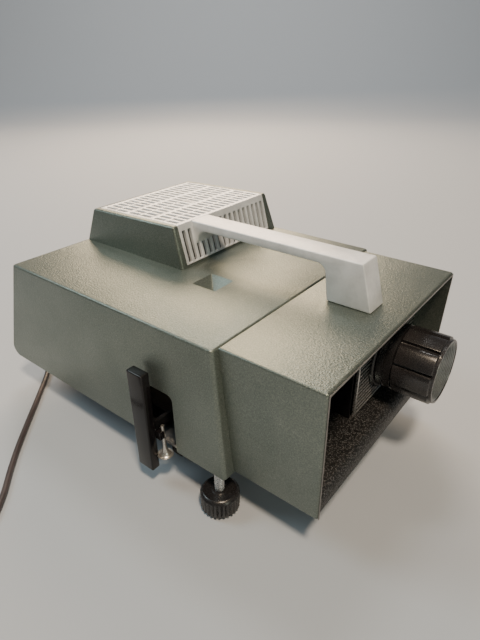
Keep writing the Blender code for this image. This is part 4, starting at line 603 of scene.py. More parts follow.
GLAND_NECK_RADIUS = 0.0055
WALL_RUN = hypot(BODY_HEIGHT, REAR_LEAN)
WALL_DOWN = Vector((0, REAR_LEAN / WALL_RUN, -BODY_HEIGHT / WALL_RUN))
WALL_OUT = Vector((0, BODY_HEIGHT / WALL_RUN, REAR_LEAN / WALL_RUN))
GLAND_PLACE = WALL_RUN - GLAND_RISE


def path_length(points):
    return sum((q - p).length for p, q in zip(points, points[1:]))


def smooth_path(knots):
    """Evenly spaced points along a smooth curve through the knots."""
    knots = [Vector(knot) for knot in knots]
    padded = [knots[0] * 2 - knots[1], *knots, knots[-1] * 2 - knots[-2]]
    fine = []
    for index in range(1, len(padded) - 2):
        a, b, c, d = padded[index - 1:index + 3]
        for step in range(PATH_STEPS):
            t = step / PATH_STEPS
            fine.append((b * 2 + (c - a) * t + (a * 2 - b * 5 + c * 4 - d) * t ** 2
                         + (b * 3 - a - c * 3 + d) * t ** 3) / 2)
    fine.append(knots[-1])
    total = path_length(fine)
    count = max(2, round(total / CORD_DIAMETER))
    points, travelled, target = [fine[0]], 0, total / count
    for p, q in zip(fine, fine[1:]):
        step = (q - p).length
        while travelled + step >= target and len(points) < count:
            points.append(p.lerp(q, (target - travelled) / step))
            target += total / count
        travelled += step
    points.append(fine[-1])
    return points


def coil_points():
    """A flat coil in two layers: the lower winds in, the lead climbs half a turn, and the upper winds out."""
    step = CORD_DIAMETER + COIL_CLEARANCE
    turns_in = (COIL_LOOPS - CLIMB_TURNS) / 2
    low = CORD_RADIUS + GAP / 3
    points = []
    count = COIL_LOOPS * COIL_POINTS
    for index in range(count + 1):
        turn = COIL_LOOPS * index / count
        late = turn - turns_in
        if late <= 0:
            radius, climb = COIL_RADIUS - step * turn, 0
        elif late < CLIMB_TURNS:
            radius = COIL_RADIUS - step * (turns_in + late - late ** 2 / CLIMB_TURNS)
            climb = smooth_step(late, 0, CLIMB_TURNS)
        else:
            radius, climb = COIL_RADIUS - step * (COIL_LOOPS - turn), 1
        angle = -pi / 2 - 2 * pi * turn
        points.append(Vector((COIL_PLACE[0] + radius * cos(angle),
                              COIL_PLACE[1] + radius * sin(angle), low + step * climb)))
    lead = Vector((CORD_DIAMETER, 0, 0))
    return [points[0] + lead, *points, points[-1] - lead]


def cord_route(gland_tip):
    """The lead from the gland down the back and past the left side, its coil, and the tail to the plug."""
    gap = Vector((GAP, 0, 0))
    coil = coil_points()
    lead = smooth_path([gland_tip, gland_tip + WALL_OUT * (3 * CORD_DIAMETER), *LEAD_ROUTE, coil[0] + gap])
    plug_neck = Vector((*PLUG_PLACE, PLUG_RADIUS))
    tail = smooth_path([coil[-1] - gap, *TAIL_ROUTE, plug_neck - Vector((0, 3 * CORD_DIAMETER, 0)),
                        plug_neck - Vector((0, GAP, 0))])
    return [*lead, *coil[1:-1], *tail]


def make_cord():
    """Round mains lead, from the gland to the plug."""
    gland_root = Vector((GLAND_X, 0, TOP)) + WALL_DOWN * GLAND_PLACE
    gland_tip = gland_root + WALL_OUT * (GLAND_LENGTH + GAP)
    route = cord_route(gland_tip)
    curve = bpy.data.curves.new("mains_cord", "CURVE")
    curve.dimensions = "3D"
    curve.bevel_depth = CORD_RADIUS
    curve.bevel_resolution = 4
    curve.use_fill_caps = True
    curve.materials.append(FINISHES["sheath"])
    spline = curve.splines.new("POLY")
    spline.points.add(len(route) - 1)
    for point, place in zip(spline.points, route):
        point.co = (*(place + SHIFT), 1)
    spline.use_smooth = True
    cord = link_new("mains_cord", curve)
    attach(cord, "casing")
    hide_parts("cord_lead", "cord_coil", "cord_tail")


# Rear casing and its hump.
EDGE_ROUND = 0.0020
SEAM_ROUND = 0.0032
TAIL_RADIUS = 0.009
HUMP_LEFT = 0.027
HUMP_RIGHT = 0.0975
HUMP_LENGTH = 0.118
HUMP_REAR_RISE = 0.0295
HUMP_FRONT_RISE = 0.0325
HUMP_FRONT_SLOPE = 0.0085
HUMP_LEFT_SLOPE = 0.0015
HUMP_RIGHT_SLOPE = 0.005
HUMP_SETBACK = 0.0005
RECESS_X = -0.0288
RECESS_Y = -0.1507
RECESS_WIDTH = 0.0215
RECESS_FLOOR = 0.005
RECESS_DEPTH = 0.0085
SIDE_SLOT_REAR = 0.134
SIDE_SLOT_FRONT = 0.174
SIDE_SLOT_DROP = 0.050
SIDE_SLOT_RADIUS = 0.005
STEP_FLANGE = 0.012
FLANGE_HALF = HALF - STEP_BOTTOM - STEP_FLANGE / 2
FRONT_FOOT_X = 0.0945
FRONT_FOOT_Y = -0.2083
SCREW_RADIUS = 0.0036
SCREW_WAY = 0.034
LOUVRE_COUNT = 7
LOUVRE_WIDTH = 0.0026
LOUVRE_LENGTH = 0.046
LOUVRE_PITCH = 0.0070
LOUVRE_FIRST = 0.024
LOUVRE_X = 0.0466
SWITCH_X = -0.030
SWITCH_PLACE = 0.052
SWITCH_WIDTH = 0.0150
SWITCH_LENGTH = 0.0210
GRILLE_MARGIN = 0.005
FRONT_SLOT_BOTTOM = 0.0030
FRONT_SLOT_TOP = 0.0050
HUMP_REAR_Y = rear_y(TOP + HUMP_REAR_RISE) - HUMP_SETBACK
HUMP_FRONT_Y = -HUMP_LENGTH + HUMP_FRONT_SLOPE
HUMP_FRONT_TOP = TOP + HUMP_FRONT_RISE
GRILLE_LEFT = -HUMP_LEFT + HUMP_LEFT_SLOPE + GRILLE_MARGIN
GRILLE_RIGHT = HUMP_RIGHT - HUMP_RIGHT_SLOPE - GRILLE_MARGIN
GRILLE_REAR_Y = HUMP_REAR_Y - WALL - GAP


def hump_front_y(rise):
    return -HUMP_LENGTH + HUMP_FRONT_SLOPE * rise / HUMP_FRONT_RISE


def hump_top_z(y):
    share = (HUMP_REAR_Y - y) / (HUMP_REAR_Y - HUMP_FRONT_Y)
    return TOP + HUMP_REAR_RISE + (HUMP_FRONT_RISE - HUMP_REAR_RISE) * share


def hump_block(inset, floor_z):
    """The raised hump over the lamp, drawn in by an inset and running down to a level."""
    def corner(side_x, side_y, side_z):
        height = HUMP_REAR_RISE if side_y > 0 else HUMP_FRONT_RISE
        z = TOP + height - inset if side_z > 0 else floor_z
        y = rear_y(z) - HUMP_SETBACK - inset if side_y > 0 else hump_front_y(z - TOP) + inset
        rise = (z - TOP) / HUMP_FRONT_RISE
        left = -HUMP_LEFT + HUMP_LEFT_SLOPE * rise + inset
        right = HUMP_RIGHT - HUMP_RIGHT_SLOPE * rise - inset
        return left if side_x < 0 else right, y, z
    return tapered(corner)


def recess_block(wall):
    """The square recess in the top, which narrows to its floor, grown by a wall."""
    def corner(side_x, side_y, side_z):
        half = RECESS_FLOOR / 2 + wall
        z = TOP - RECESS_DEPTH - wall
        if side_z > 0:
            half = RECESS_WIDTH / 2 + OVERRUN / RECESS_DEPTH * (RECESS_WIDTH - RECESS_FLOOR) / 2 + wall
            z = TOP + OVERRUN
        return RECESS_X + side_x * half, RECESS_Y + side_y * half, z
    return tapered(corner)


def grille_cut_outline():
    high = HUMP_FRONT_TOP + OVERRUN
    toe = FRONT_SLOT_BOTTOM / 2
    low_y = hump_front_y(toe)
    inside = WALL + GAP
    return [(HUMP_REAR_Y - WALL, high), (HUMP_FRONT_Y - OVERRUN, high), (low_y - OVERRUN, TOP + toe),
            (low_y + inside, TOP + toe), (HUMP_FRONT_Y + inside, HUMP_FRONT_TOP - inside),
            (HUMP_REAR_Y - WALL, TOP + HUMP_REAR_RISE - inside)]


def on_rear_wall(piece, x, down):
    """Move a piece drawn at the origin on to the leaning rear wall, Z standing out of it."""
    spot = Vector((x, 0, TOP)) + WALL_DOWN * down
    piece.data.transform(axes_at(spot, (-1, 0, 0), -WALL_DOWN, WALL_OUT))
    return piece


def rear_wall_cutters():
    """Cutters for the round-ended louvres, the switch and the cord gland."""
    depth = WALL + OVERRUN
    radius = LOUVRE_WIDTH / 2
    reach = LOUVRE_LENGTH / 2 - radius
    outline = arc((reach, 0), radius, -90, 90, 6) + arc((-reach, 0), radius, 90, 270, 6)
    louvres = []
    for index in range(LOUVRE_COUNT):
        louvre = prism(outline, -depth, depth, lambda u, v, w: (u, v, w))
        louvres.append(on_rear_wall(louvre, LOUVRE_X, LOUVRE_FIRST + LOUVRE_PITCH * index))
    half_x, half_y = SWITCH_WIDTH / 2 + GAP, SWITCH_LENGTH / 2 + GAP
    switch = block((-half_x, -half_y, -depth), (half_x, half_y, OVERRUN))
    gland = cylinder(GLAND_NECK_RADIUS + GAP, (0, 0, -depth), (0, 0, OVERRUN))
    return [together(louvres), on_rear_wall(switch, SWITCH_X, SWITCH_PLACE),
            on_rear_wall(gland, GLAND_X, GLAND_PLACE)]


def shell_share(first, second):
    """The front corners of the rear casing are the roundest, and its tail is rolled already."""
    middle = (first + second) / 2
    plain = EDGE_ROUND / SEAM_ROUND
    if abs(abs(middle.x) - HALF) < GAP:
        upright = abs(middle.y - seam_y(middle.z)) < GAP and abs(first.z - second.z) > WALL
        return 1.0 if upright else plain
    if middle.z > TOP - GAP:
        return plain
    return plain if middle.y < seam_y(FLOOR_GAP) + GAP else 0.0


def make_rear_housing():
    """Rear casing, its edges rolled and its wall open at the louvres, changer and grille."""
    low = FLOOR_GAP
    under = low - OVERRUN
    lean = degrees(atan2(BODY_HEIGHT, -REAR_LEAN))
    tail_run = TAIL_RADIUS / tan(radians(180 - lean) / 2)
    outline = [(0, TOP), (seam_y(TOP), TOP), (seam_y(low), low)]
    outline += arc((REAR_LEAN - tail_run, low + TAIL_RADIUS), TAIL_RADIUS, -90, lean - 90, 10)
    shell = bevel(side_prism(outline, -HALF, HALF), SEAM_ROUND, BEVEL_STEPS, shell_share)
    shell = join(shell, bevel(hump_block(0, TOP - OVERRUN), EDGE_ROUND, BEVEL_STEPS))
    inner_top = TOP - WALL
    inner = [(-WALL, inner_top), (seam_y(TOP) + WALL, inner_top), (seam_y(under) + WALL, under),
             (rear_y(under) - WALL, under)]
    hollow = cut(side_prism(inner, -HALF + WALL, HALF - WALL), recess_block(WALL))
    shell = cut(shell, hollow, hump_block(WALL, inner_top - OVERRUN / 2))
    for x in (-FRONT_FOOT_X, FRONT_FOOT_X):
        shell = cut(shell, cylinder(SCREW_RADIUS + 2 * GAP, (x, FRONT_FOOT_Y, under),
                                    (x, FRONT_FOOT_Y, low + SCREW_WAY)))
    doorway = block((-FLANGE_HALF, seam_y(low) - OVERRUN, under),
                    (FLANGE_HALF, seam_y(TOP) + OVERRUN, TOP - STEP_FLANGE))
    recess = bevel(recess_block(0), EDGE_ROUND / 4, 2)
    grille_cut = side_prism(grille_cut_outline(), GRILLE_LEFT - GAP, GRILLE_RIGHT + GAP)
    corner_z = TOP - SIDE_SLOT_DROP - SIDE_SLOT_RADIUS
    slot = [(-SIDE_SLOT_REAR, under), (-SIDE_SLOT_FRONT, under)]
    slot += arc((-SIDE_SLOT_FRONT + SIDE_SLOT_RADIUS, corner_z), SIDE_SLOT_RADIUS, 180, 90, 8)
    slot += arc((-SIDE_SLOT_REAR - SIDE_SLOT_RADIUS, corner_z), SIDE_SLOT_RADIUS, 90, 0, 8)
    side_slot = side_prism(slot, -HALF - OVERRUN, -HALF + WALL + OVERRUN / 2)
    shell = cut(shell, doorway, recess, grille_cut, side_slot, *rear_wall_cutters())
    finish(shell, "rear_shell", "enamel", "casing", "rear_housing")


# Front casing.
MOUTH_EDGE_DEPTH = 0.00022
MOUTH_EDGE_GAP = 0.00002
MOUTH_EDGE_ROUND = 0.0012


def hood_block(inset, low, high, rear, front):
    """A block inside the tapering front casing; rear and front give its ends at a height."""
    def corner(side_x, side_y, side_z):
        z = high if side_z > 0 else low
        return side_x * (front_half(z) - inset), rear(z) if side_y > 0 else front(z), z
    return tapered(corner)


def hood_share(first, second):
    """The front casing's rear edge is square down the sides and eased across the top."""
    middle = (first + second) / 2
    if middle.y < seam_y(middle.z) - WALL:
        return 1.0
    if abs(first.z - second.z) > WALL or middle.z < TOP - WALL:
        return 0.0
    return 0.5


def make_front_housing():
    """Front casing, a tapering hood that is open at both ends and below."""
    low = FLOOR_GAP + FRONT_RISE
    seam_gap = GAP / 6
    hood = hood_block(0, low, TOP, lambda z: seam_y(z) - seam_gap, rim_y)
    hollow = hood_block(WALL, low - OVERRUN, TOP - WALL, lambda z: seam_y(z) - seam_gap + OVERRUN,
                        lambda z: rim_y(z) - OVERRUN)
    hood = cut(bevel(hood, EDGE_ROUND, BEVEL_STEPS, hood_share), bevel(hollow, EDGE_ROUND / 2, 2))
    finish(hood, "front_shell", "enamel", "casing", "front_housing")


def make_mouth_edge():
    """Thin bare edge round the mouth of the front casing."""
    low = FLOOR_GAP + FRONT_RISE
    outer_inset = EDGE_ROUND / 2
    inner_inset = WALL - GAP / 3
    outer = hood_block(outer_inset, low, TOP - outer_inset, lambda z: rim_y(z) - MOUTH_EDGE_GAP,
                       lambda z: rim_y(z) - MOUTH_EDGE_DEPTH)
    inner = hood_block(inner_inset, low - OVERRUN, TOP - inner_inset, lambda z: rim_y(z) + OVERRUN,
                       lambda z: rim_y(z) - OVERRUN)
    edge = cut(bevel(outer, MOUTH_EDGE_ROUND), bevel(inner, EDGE_ROUND / 2, 2))
    finish(edge, "mouth_edge", "bare_edge", "casing")


# Cast grille and carrying handle.
SLOT_COLUMNS = 17
SLOT_WIDTH = 0.0034
SLOT_SOFT = 0.0004
SLOT_SOFT_STEPS = 3
SLOT_CORNER = 0.0010
SLOT_CORNER_STEPS = 3
GRILLE_ROUND = 0.0006
TOP_BANDS = 3
SLOT_EDGE = 0.0030
SLOT_FRONT_END = 0.0040
BAND_BAR = 0.0042
HALF_BAR = 0.0016
SLOT_END = 0.0046
HANDLE_OFFSET = 0.0046
HANDLE_WIDTH = 0.0196
HANDLE_DEPTH = 0.0066
HANDLE_DIP = 0.0002
HANDLE_ROOT_SHARE = 0.7
HANDLE_REACH = 0.255
HANDLE_ROUND = 0.0009
HANDLE_FILLET = 0.007
BLOCK_REAR = 0.2312
BLOCK_FRONT = 0.2636
BLOCK_TOP_REAR = 0.2290
GUSSET_DEPTH = 0.012
GUSSET_LENGTH = 0.011
GUSSET_STEPS = 8


def rounded_rectangle(half_u, half_v, radius):
    points = []
    for turn, (su, sv) in enumerate(((1, 1), (-1, 1), (-1, -1), (1, -1))):
        centre = (su * (half_u - radius), sv * (half_v - radius))
        points += arc(centre, radius, 90 * turn, 90 * turn + 90, SLOT_CORNER_STEPS)
    return points


def soft_slot(half_long, half_wide, matrix):
    """A slot cutter with round corners whose mouth flares, Z standing out of the surface."""
    levels = [(-WALL - OVERRUN / 2, 0)]
    for step in range(SLOT_SOFT_STEPS + 1):
        angle = pi / 2 * step / SLOT_SOFT_STEPS
        levels.append((SLOT_SOFT * (sin(angle) - 1), SLOT_SOFT * (1 - cos(angle))))
    levels.append((OVERRUN, SLOT_SOFT))
    rings = []
    for height, grown in levels:
        outline = rounded_rectangle(half_long + grown, half_wide + grown, SLOT_CORNER + grown)
        rings.append([(u, v, height) for u, v in outline])
    return loft(rings, matrix)


def slot_frame(x, y, z, along):
    """Axes on a surface that runs across X: along it, across it and out of it."""
    along = along.normalized()
    across = Vector((1, 0, 0))
    return axes_at((x, y, z), along, across, across.cross(along))


def grille_slots():
    """Cutters for every slot: bands of pairs over the top and one band down the front slope."""
    pitch = (GRILLE_RIGHT - GRILLE_LEFT - SLOT_EDGE) / SLOT_COLUMNS
    slotted = GRILLE_REAR_Y - SLOT_END - (HUMP_FRONT_Y + SLOT_FRONT_END)
    band_length = (slotted - BAND_BAR * (TOP_BANDS - 1)) / TOP_BANDS
    half_length = (band_length - HALF_BAR) / 2
    fall = Vector((0, 1, (hump_top_z(0) - hump_top_z(-HUMP_LENGTH)) / HUMP_LENGTH))
    slope = Vector((0, HUMP_FRONT_SLOPE, HUMP_FRONT_RISE))
    low_share = FRONT_SLOT_BOTTOM / HUMP_FRONT_RISE
    high_share = 1 - FRONT_SLOT_TOP / HUMP_FRONT_RISE
    middle_share = (low_share + high_share) / 2
    slots = []
    for column in range(SLOT_COLUMNS):
        x = GRILLE_LEFT + SLOT_EDGE / 2 + pitch * (column + 0.5)
        y = GRILLE_REAR_Y - SLOT_END
        for _ in range(TOP_BANDS):
            for _ in range(2):
                middle = y - half_length / 2
                place = slot_frame(x, middle, hump_top_z(middle), fall)
                slots.append(soft_slot(half_length / 2, SLOT_WIDTH / 2, place))
                y -= half_length + HALF_BAR
            y -= BAND_BAR - HALF_BAR
        place = slot_frame(x, -HUMP_LENGTH + slope.y * middle_share, TOP + slope.z * middle_share, slope)
        slots.append(soft_slot(slope.length * (high_share - low_share) / 2, SLOT_WIDTH / 2, place))
    return together(slots)


def handle_bar():
    """Flat bar from the grille's front edge to a tapered block, with a curved gusset at its root."""
    high = HUMP_FRONT_TOP - HANDLE_DIP
    under = high - HANDLE_DEPTH
    low = TOP + GAP
    root = WALL * HANDLE_ROOT_SHARE
    gusset_z = under - GUSSET_DEPTH
    gusset_y = HUMP_FRONT_Y - HUMP_FRONT_SLOPE / HUMP_FRONT_RISE * (high - gusset_z)
    profile = [(HUMP_FRONT_Y + root, high), (-HANDLE_REACH, high), (-BLOCK_FRONT, low), (-BLOCK_REAR, low)]
    profile += arc((-BLOCK_TOP_REAR + HANDLE_FILLET, under - HANDLE_FILLET), HANDLE_FILLET, 180, 90, 10)
    start, corner = Vector((gusset_y - GUSSET_LENGTH, under)), Vector((gusset_y, under))
    end = Vector((gusset_y, gusset_z))
    for step in range(GUSSET_STEPS):
        share = step / GUSSET_STEPS
        profile.append(start * (1 - share) ** 2 + corner * 2 * share * (1 - share) + end * share ** 2)
    profile.append((gusset_y + root, gusset_z))
    bar = side_prism(profile, HANDLE_OFFSET - HANDLE_WIDTH / 2, HANDLE_OFFSET + HANDLE_WIDTH / 2)
    return bevel(bar, HANDLE_ROUND)


def make_grille():
    """Cast vent grille with soft-edged slots, in one piece with the carrying handle."""
    toe = FRONT_SLOT_BOTTOM / 2 + GAP
    low_y = hump_front_y(toe)
    rear_z = hump_top_z(GRILLE_REAR_Y)
    outline = [(GRILLE_REAR_Y, rear_z), (HUMP_FRONT_Y, HUMP_FRONT_TOP), (low_y, TOP + toe),
               (low_y + WALL, TOP + toe), (HUMP_FRONT_Y + WALL, HUMP_FRONT_TOP - WALL),
               (GRILLE_REAR_Y, rear_z - WALL)]
    grille = cut(bevel(side_prism(outline, GRILLE_LEFT, GRILLE_RIGHT), GRILLE_ROUND), grille_slots())
    finish(join(grille, handle_bar()), "cast_grille", "cast_aluminium", "casing", "vent_grille",
           32)


# Lens. Heights along the ring and the tube count forwards from the rear end of each.
LENS_AHEAD = (0, -1, 0)
PLATE_FRONT = 0.2622
MOUNT_RADIUS = 0.0212
MOUNT_FLANGE = 0.0022
BARREL_RADIUS = 0.0190
BARREL_BORE = 0.0150
BARREL_REAR = 0.206
COLLAR_RADIUS = 0.0248
RING_RADIUS = 0.0253
RING_RIM_RADIUS = 0.0238
RING_FRONT = 0.3045
RING_LENGTH = 0.0280
RING_REAR = RING_FRONT - RING_LENGTH
BARREL_FRONT = RING_FRONT - 0.0155
RIM_LENGTH = 0.0012
RING_SIDES = 540
RING_RIBS = 9
RING_GROOVE_DEPTH = 0.0025
RING_TURN = 1
RIB_STEP_START = 0.955
RIB_STEP_END = 0.99
RIB_ROLL_START = 0.05
RIB_ROLL_LENGTH = 0.36
CONE_MOUTH = 0.0222
CONE_THROAT = 0.0150
CONE_SHOULDER = 0.0014
CONE_GROOVES = 14
CONE_GROOVE_DEPTH = 0.00012
GLASS_RADIUS = 0.0160
GLASS_EDGE = 0.0030
GLASS_SETBACK = 0.0008
LENS_SOFT = 0.0006
RING_TIP = RING_FRONT + RIM_LENGTH - RING_REAR
RING_STOP = BARREL_FRONT + GAP - RING_REAR


def ring_groove(angle):
    """Depth share round the ring: each rib ends in a sharp step and the next one rolls up out of it."""
    share = (degrees(angle) - RING_TURN) * RING_RIBS / 360 % 1
    if share > 0.5:
        return smooth_step(share, RIB_STEP_START, RIB_STEP_END)
    rise = max(0.0, min(1.0, (share - RIB_ROLL_START) / RIB_ROLL_LENGTH))
    return 1 - sqrt(1 - (1 - rise) ** 2)


def make_ring():
    """Ribbed focusing ring, open at the front in a cone."""
    ribs_end = RING_FRONT - RIM_LENGTH - RING_REAR
    soft, depth = LENS_SOFT, RING_GROOVE_DEPTH
    bore = BARREL_RADIUS + GAP
    profile = [
        (bore, 0), (RING_RADIUS - 2 * soft, 0, 0.6 * depth),
        (RING_RADIUS - 0.6 * soft, 0.35 * soft, 0.8 * depth), (RING_RADIUS, soft, depth),
        (RING_RADIUS, ribs_end - soft, depth), (RING_RADIUS - 0.3 * soft, ribs_end - 0.3 * soft, 0.9 * depth),
        (RING_RADIUS - soft, ribs_end, 0.5 * depth), (RING_RIM_RADIUS + 0.2 * soft, ribs_end + soft),
        (RING_RIM_RADIUS, RING_TIP - 0.5 * soft), (RING_RIM_RADIUS - 0.4 * soft, RING_TIP),
        (CONE_MOUTH, RING_TIP), (CONE_MOUTH - 0.5 * soft, RING_TIP - 0.5 * soft),
        (CONE_THROAT, RING_STOP + CONE_SHOULDER), (CONE_THROAT, RING_STOP), (bore, RING_STOP)]
    ring = turned(profile, (AXIS_X, -RING_REAR, AXIS_Z), LENS_AHEAD, RING_SIDES, ring_groove)
    finish(ring, "ribbed_ring", "grip_black", "ring", "focus_ring", 30)


def make_cone_lining():
    """Dull lining of the ring's cone, with fine grooves round it."""
    low = RING_STOP + CONE_SHOULDER + LENS_SOFT
    run = RING_TIP - LENS_SOFT - low
    slope = (CONE_MOUTH - CONE_THROAT) / (RING_TIP - RING_STOP - CONE_SHOULDER)
    lining = []
    for step in range(CONE_GROOVES + 1):
        height = low + run * step / CONE_GROOVES
        radius = CONE_THROAT + slope * (height - RING_STOP - CONE_SHOULDER) - GAP / 2
        lining.append((radius, height))
        if step < CONE_GROOVES:
            lining.append((radius - CONE_GROOVE_DEPTH, height + run / CONE_GROOVES / 2))
    back = [(radius + GAP / 3, height) for radius, height in (lining[-1], lining[0])]
    cone = turned(lining + back, (AXIS_X, -RING_REAR, AXIS_Z), LENS_AHEAD, 144)
    finish(cone, "cone_lining", "satin_grey", "ring", smooth=30)


def make_lens_tube():
    """Barrel with its collar, which has a groove round its middle."""
    collar_rear = PLATE_FRONT + GAP + MOUNT_FLANGE + GAP - BARREL_REAR
    collar_front = RING_REAR - GAP - BARREL_REAR
    mid = (collar_rear + collar_front) / 2
    total = BARREL_FRONT - BARREL_REAR
    seat = GLASS_RADIUS + GAP
    rear_ledge = GLASS_SETBACK + GLASS_EDGE + GAP
    front_ledge = BARREL_FRONT - GLASS_SETBACK - BARREL_REAR - GLASS_EDGE - GAP
    soft, outside = LENS_SOFT, COLLAR_RADIUS
    profile = [
        (BARREL_RADIUS, total), (BARREL_RADIUS, collar_front), (outside - 2 * soft, collar_front),
        (outside - soft, collar_front - 0.4 * soft), (outside, collar_front - soft), (outside, mid + soft),
        (outside - soft, mid + 0.5 * soft), (outside - soft, mid - 0.5 * soft), (outside, mid - soft),
        (outside, collar_rear + soft), (outside - soft, collar_rear), (BARREL_RADIUS, collar_rear),
        (BARREL_RADIUS, 0), (seat, 0), (seat, rear_ledge), (BARREL_BORE, rear_ledge),
        (BARREL_BORE, front_ledge), (seat, front_ledge), (seat, total)]
    tube = turned(profile, (AXIS_X, -BARREL_REAR, AXIS_Z), LENS_AHEAD, 128)
    finish(tube, "lens_tube", "satin_black", "barrel", "lens_barrel", 30)


# Ribbed plate behind the lens, and the pebbled tray under it.
PLATE_REACH = 0.0438
PLATE_LEFT = AXIS_X - PLATE_REACH
PLATE_THICKNESS = 0.0024
PLATE_TOP_GAP = 0.0015
PLATE_EDGE_ROUND = 0.0004
PAN_RISE = 0.0155
PAN_TOP = FLOOR_GAP + PAN_RISE
PAN_THICKNESS = 0.0020
PAN_SETBACK = 0.0022
PAN_BEND = 0.0080
RIB_PITCH = 0.0035
RIB_DEPTH = 0.0009
RIB_BORDER = 0.0022
RIBS_START = 0.0024

# Down one groove between two ribs: share of the pitch, share of the depth.
RIB_GROOVE = ((0.98, 0.0), (0.86, 0.55), (0.74, 0.95), (0.30, 0.95), (0.18, 0.55), (0.06, 0.0))


def ribbed_outline(front, low, high):
    """Side outline of the plate, its face in thin level ribs with round crests."""
    outline = [(front + PLATE_THICKNESS, low), (front + PLATE_THICKNESS, high), (front, high)]
    count = int((high - low - 2 * RIB_BORDER) / RIB_PITCH)
    for index in range(count, 0, -1):
        base = low + RIB_BORDER + RIB_PITCH * (index - 1)
        for share, depth in RIB_GROOVE:
            outline.append((front + RIB_DEPTH * depth, base + RIB_PITCH * share))
    outline.append((front, low))
    return outline


def fit_hood(piece, low, high, rear, front):
    """Trim a piece to the inside of the front casing, between two levels and two ends."""
    room = hood_block(WALL + GAP, low, high, lambda z: rear, lambda z: front)
    return boolean(piece, [room], "INTERSECT")


def make_front_plate():
    """Ribbed plate with a plain border down its free edge and along its foot."""
    front = -PLATE_FRONT
    behind = front + 2 * PLATE_THICKNESS
    low = PAN_TOP + GAP
    high = TOP - WALL - PLATE_TOP_GAP
    plate = side_prism(ribbed_outline(front, low, high), PLATE_LEFT + RIB_BORDER, HALF)
    edge_right = PLATE_LEFT + RIB_BORDER + GAP / 10
    edge = block((PLATE_LEFT, front, low), (edge_right, front + PLATE_THICKNESS, high))
    plate = join(plate, bevel(edge, PLATE_EDGE_ROUND, 2))
    plate = fit_hood(plate, low - OVERRUN, high + OVERRUN, behind, front - OVERRUN)
    hole = cylinder(MOUNT_RADIUS + GAP, (AXIS_X, behind, AXIS_Z), (AXIS_X, front - OVERRUN, AXIS_Z), 96)
    finish(cut(plate, hole), "ribbed_plate", "ribbed_black", "casing", "front_plate", 30)


def make_pan():
    """Pebbled tray in the front opening, a sheet folded down at its front in a soft bend."""
    low = FLOOR_GAP + FRONT_RISE + GAP
    front = rim_y(PAN_TOP) + PAN_SETBACK
    rear = seam_y(PAN_TOP) - GAP
    centre = (front + PAN_BEND, PAN_TOP - PAN_BEND)
    outline = [(rear, PAN_TOP), *arc(centre, PAN_BEND, 90, 180, 6), (front, low),
               (front + PAN_THICKNESS, low), *arc(centre, PAN_BEND - PAN_THICKNESS, 180, 90, 6),
               (rear, PAN_TOP - PAN_THICKNESS)]
    pan = fit_hood(side_prism(outline, -HALF, HALF), low - OVERRUN, TOP, rear + OVERRUN, front - OVERRUN)
    finish(pan, "pebbled_tray", "pebbled_black", "casing", "front_pan", 30)


# Changer, with the small parts at its foot.
BAR_STANDOFF = 0.012
BAR_OUTER = HALF + BAR_STANDOFF
BAR_THICKNESS = 0.0072
BAR_REAR = 0.1450
BAR_FRONT = 0.1598
BAR_TOP_DROP = 0.0335
BAR_BELOW = 0.0170
BAR_ROUND = 0.0011
BAR_HOLLOW_DEPTH = 0.0009
BAR_HOLLOW_SIDE = 0.0032
BAR_HOLLOW_BOTTOM = 0.012
BAR_HOLLOW_TOP = 0.004
BAR_HOLLOW_ROUND = 0.0006
LIP_X = -0.1012
LIP_Y = -0.1628
LIP_RADIUS = 0.0012
LIP_FLARE = 0.0048
LIP_HEIGHT = 0.0110
LIP_TOP = 0.0540
LIP_LOW = 0.0275
LIP_WALL = 0.0005
LIP_STEPS = 8
WEB_LOW = 0.0430
WEB_HIGH = 0.0500
WEB_ROUND = 0.0005
STOP_LEFT = -0.0950
STOP_RIGHT = -0.0870
STOP_ROUND = 0.0012
BASE_INSET = 0.0008
BASE_THICKNESS = 0.0020

# Each stop's distance back to its rear and front, and its lowest level.
STOPS = ((0.1630, 0.1735, 0.0250), (0.1752, 0.1842, 0.0262))


def make_changer():
    """Moulded changer grip, a flat bar with rolled edges and a shallow finger hollow inside."""
    low, high = FLOOR_GAP - BAR_BELOW, TOP - BAR_TOP_DROP
    inner = -BAR_OUTER + BAR_THICKNESS
    bar = bevel(block((-BAR_OUTER, -BAR_FRONT, low), (inner, -BAR_REAR, high)), BAR_ROUND, 4)
    hollow = block((inner - BAR_HOLLOW_DEPTH, -BAR_FRONT + BAR_HOLLOW_SIDE, low + BAR_HOLLOW_BOTTOM),
                   (inner + OVERRUN, -BAR_REAR - BAR_HOLLOW_SIDE, high - BAR_HOLLOW_TOP))
    bar = cut(bar, bevel(hollow, BAR_HOLLOW_ROUND, 2))
    finish(bar, "changer_grip", "gloss_black", "changer", "changer_handle")


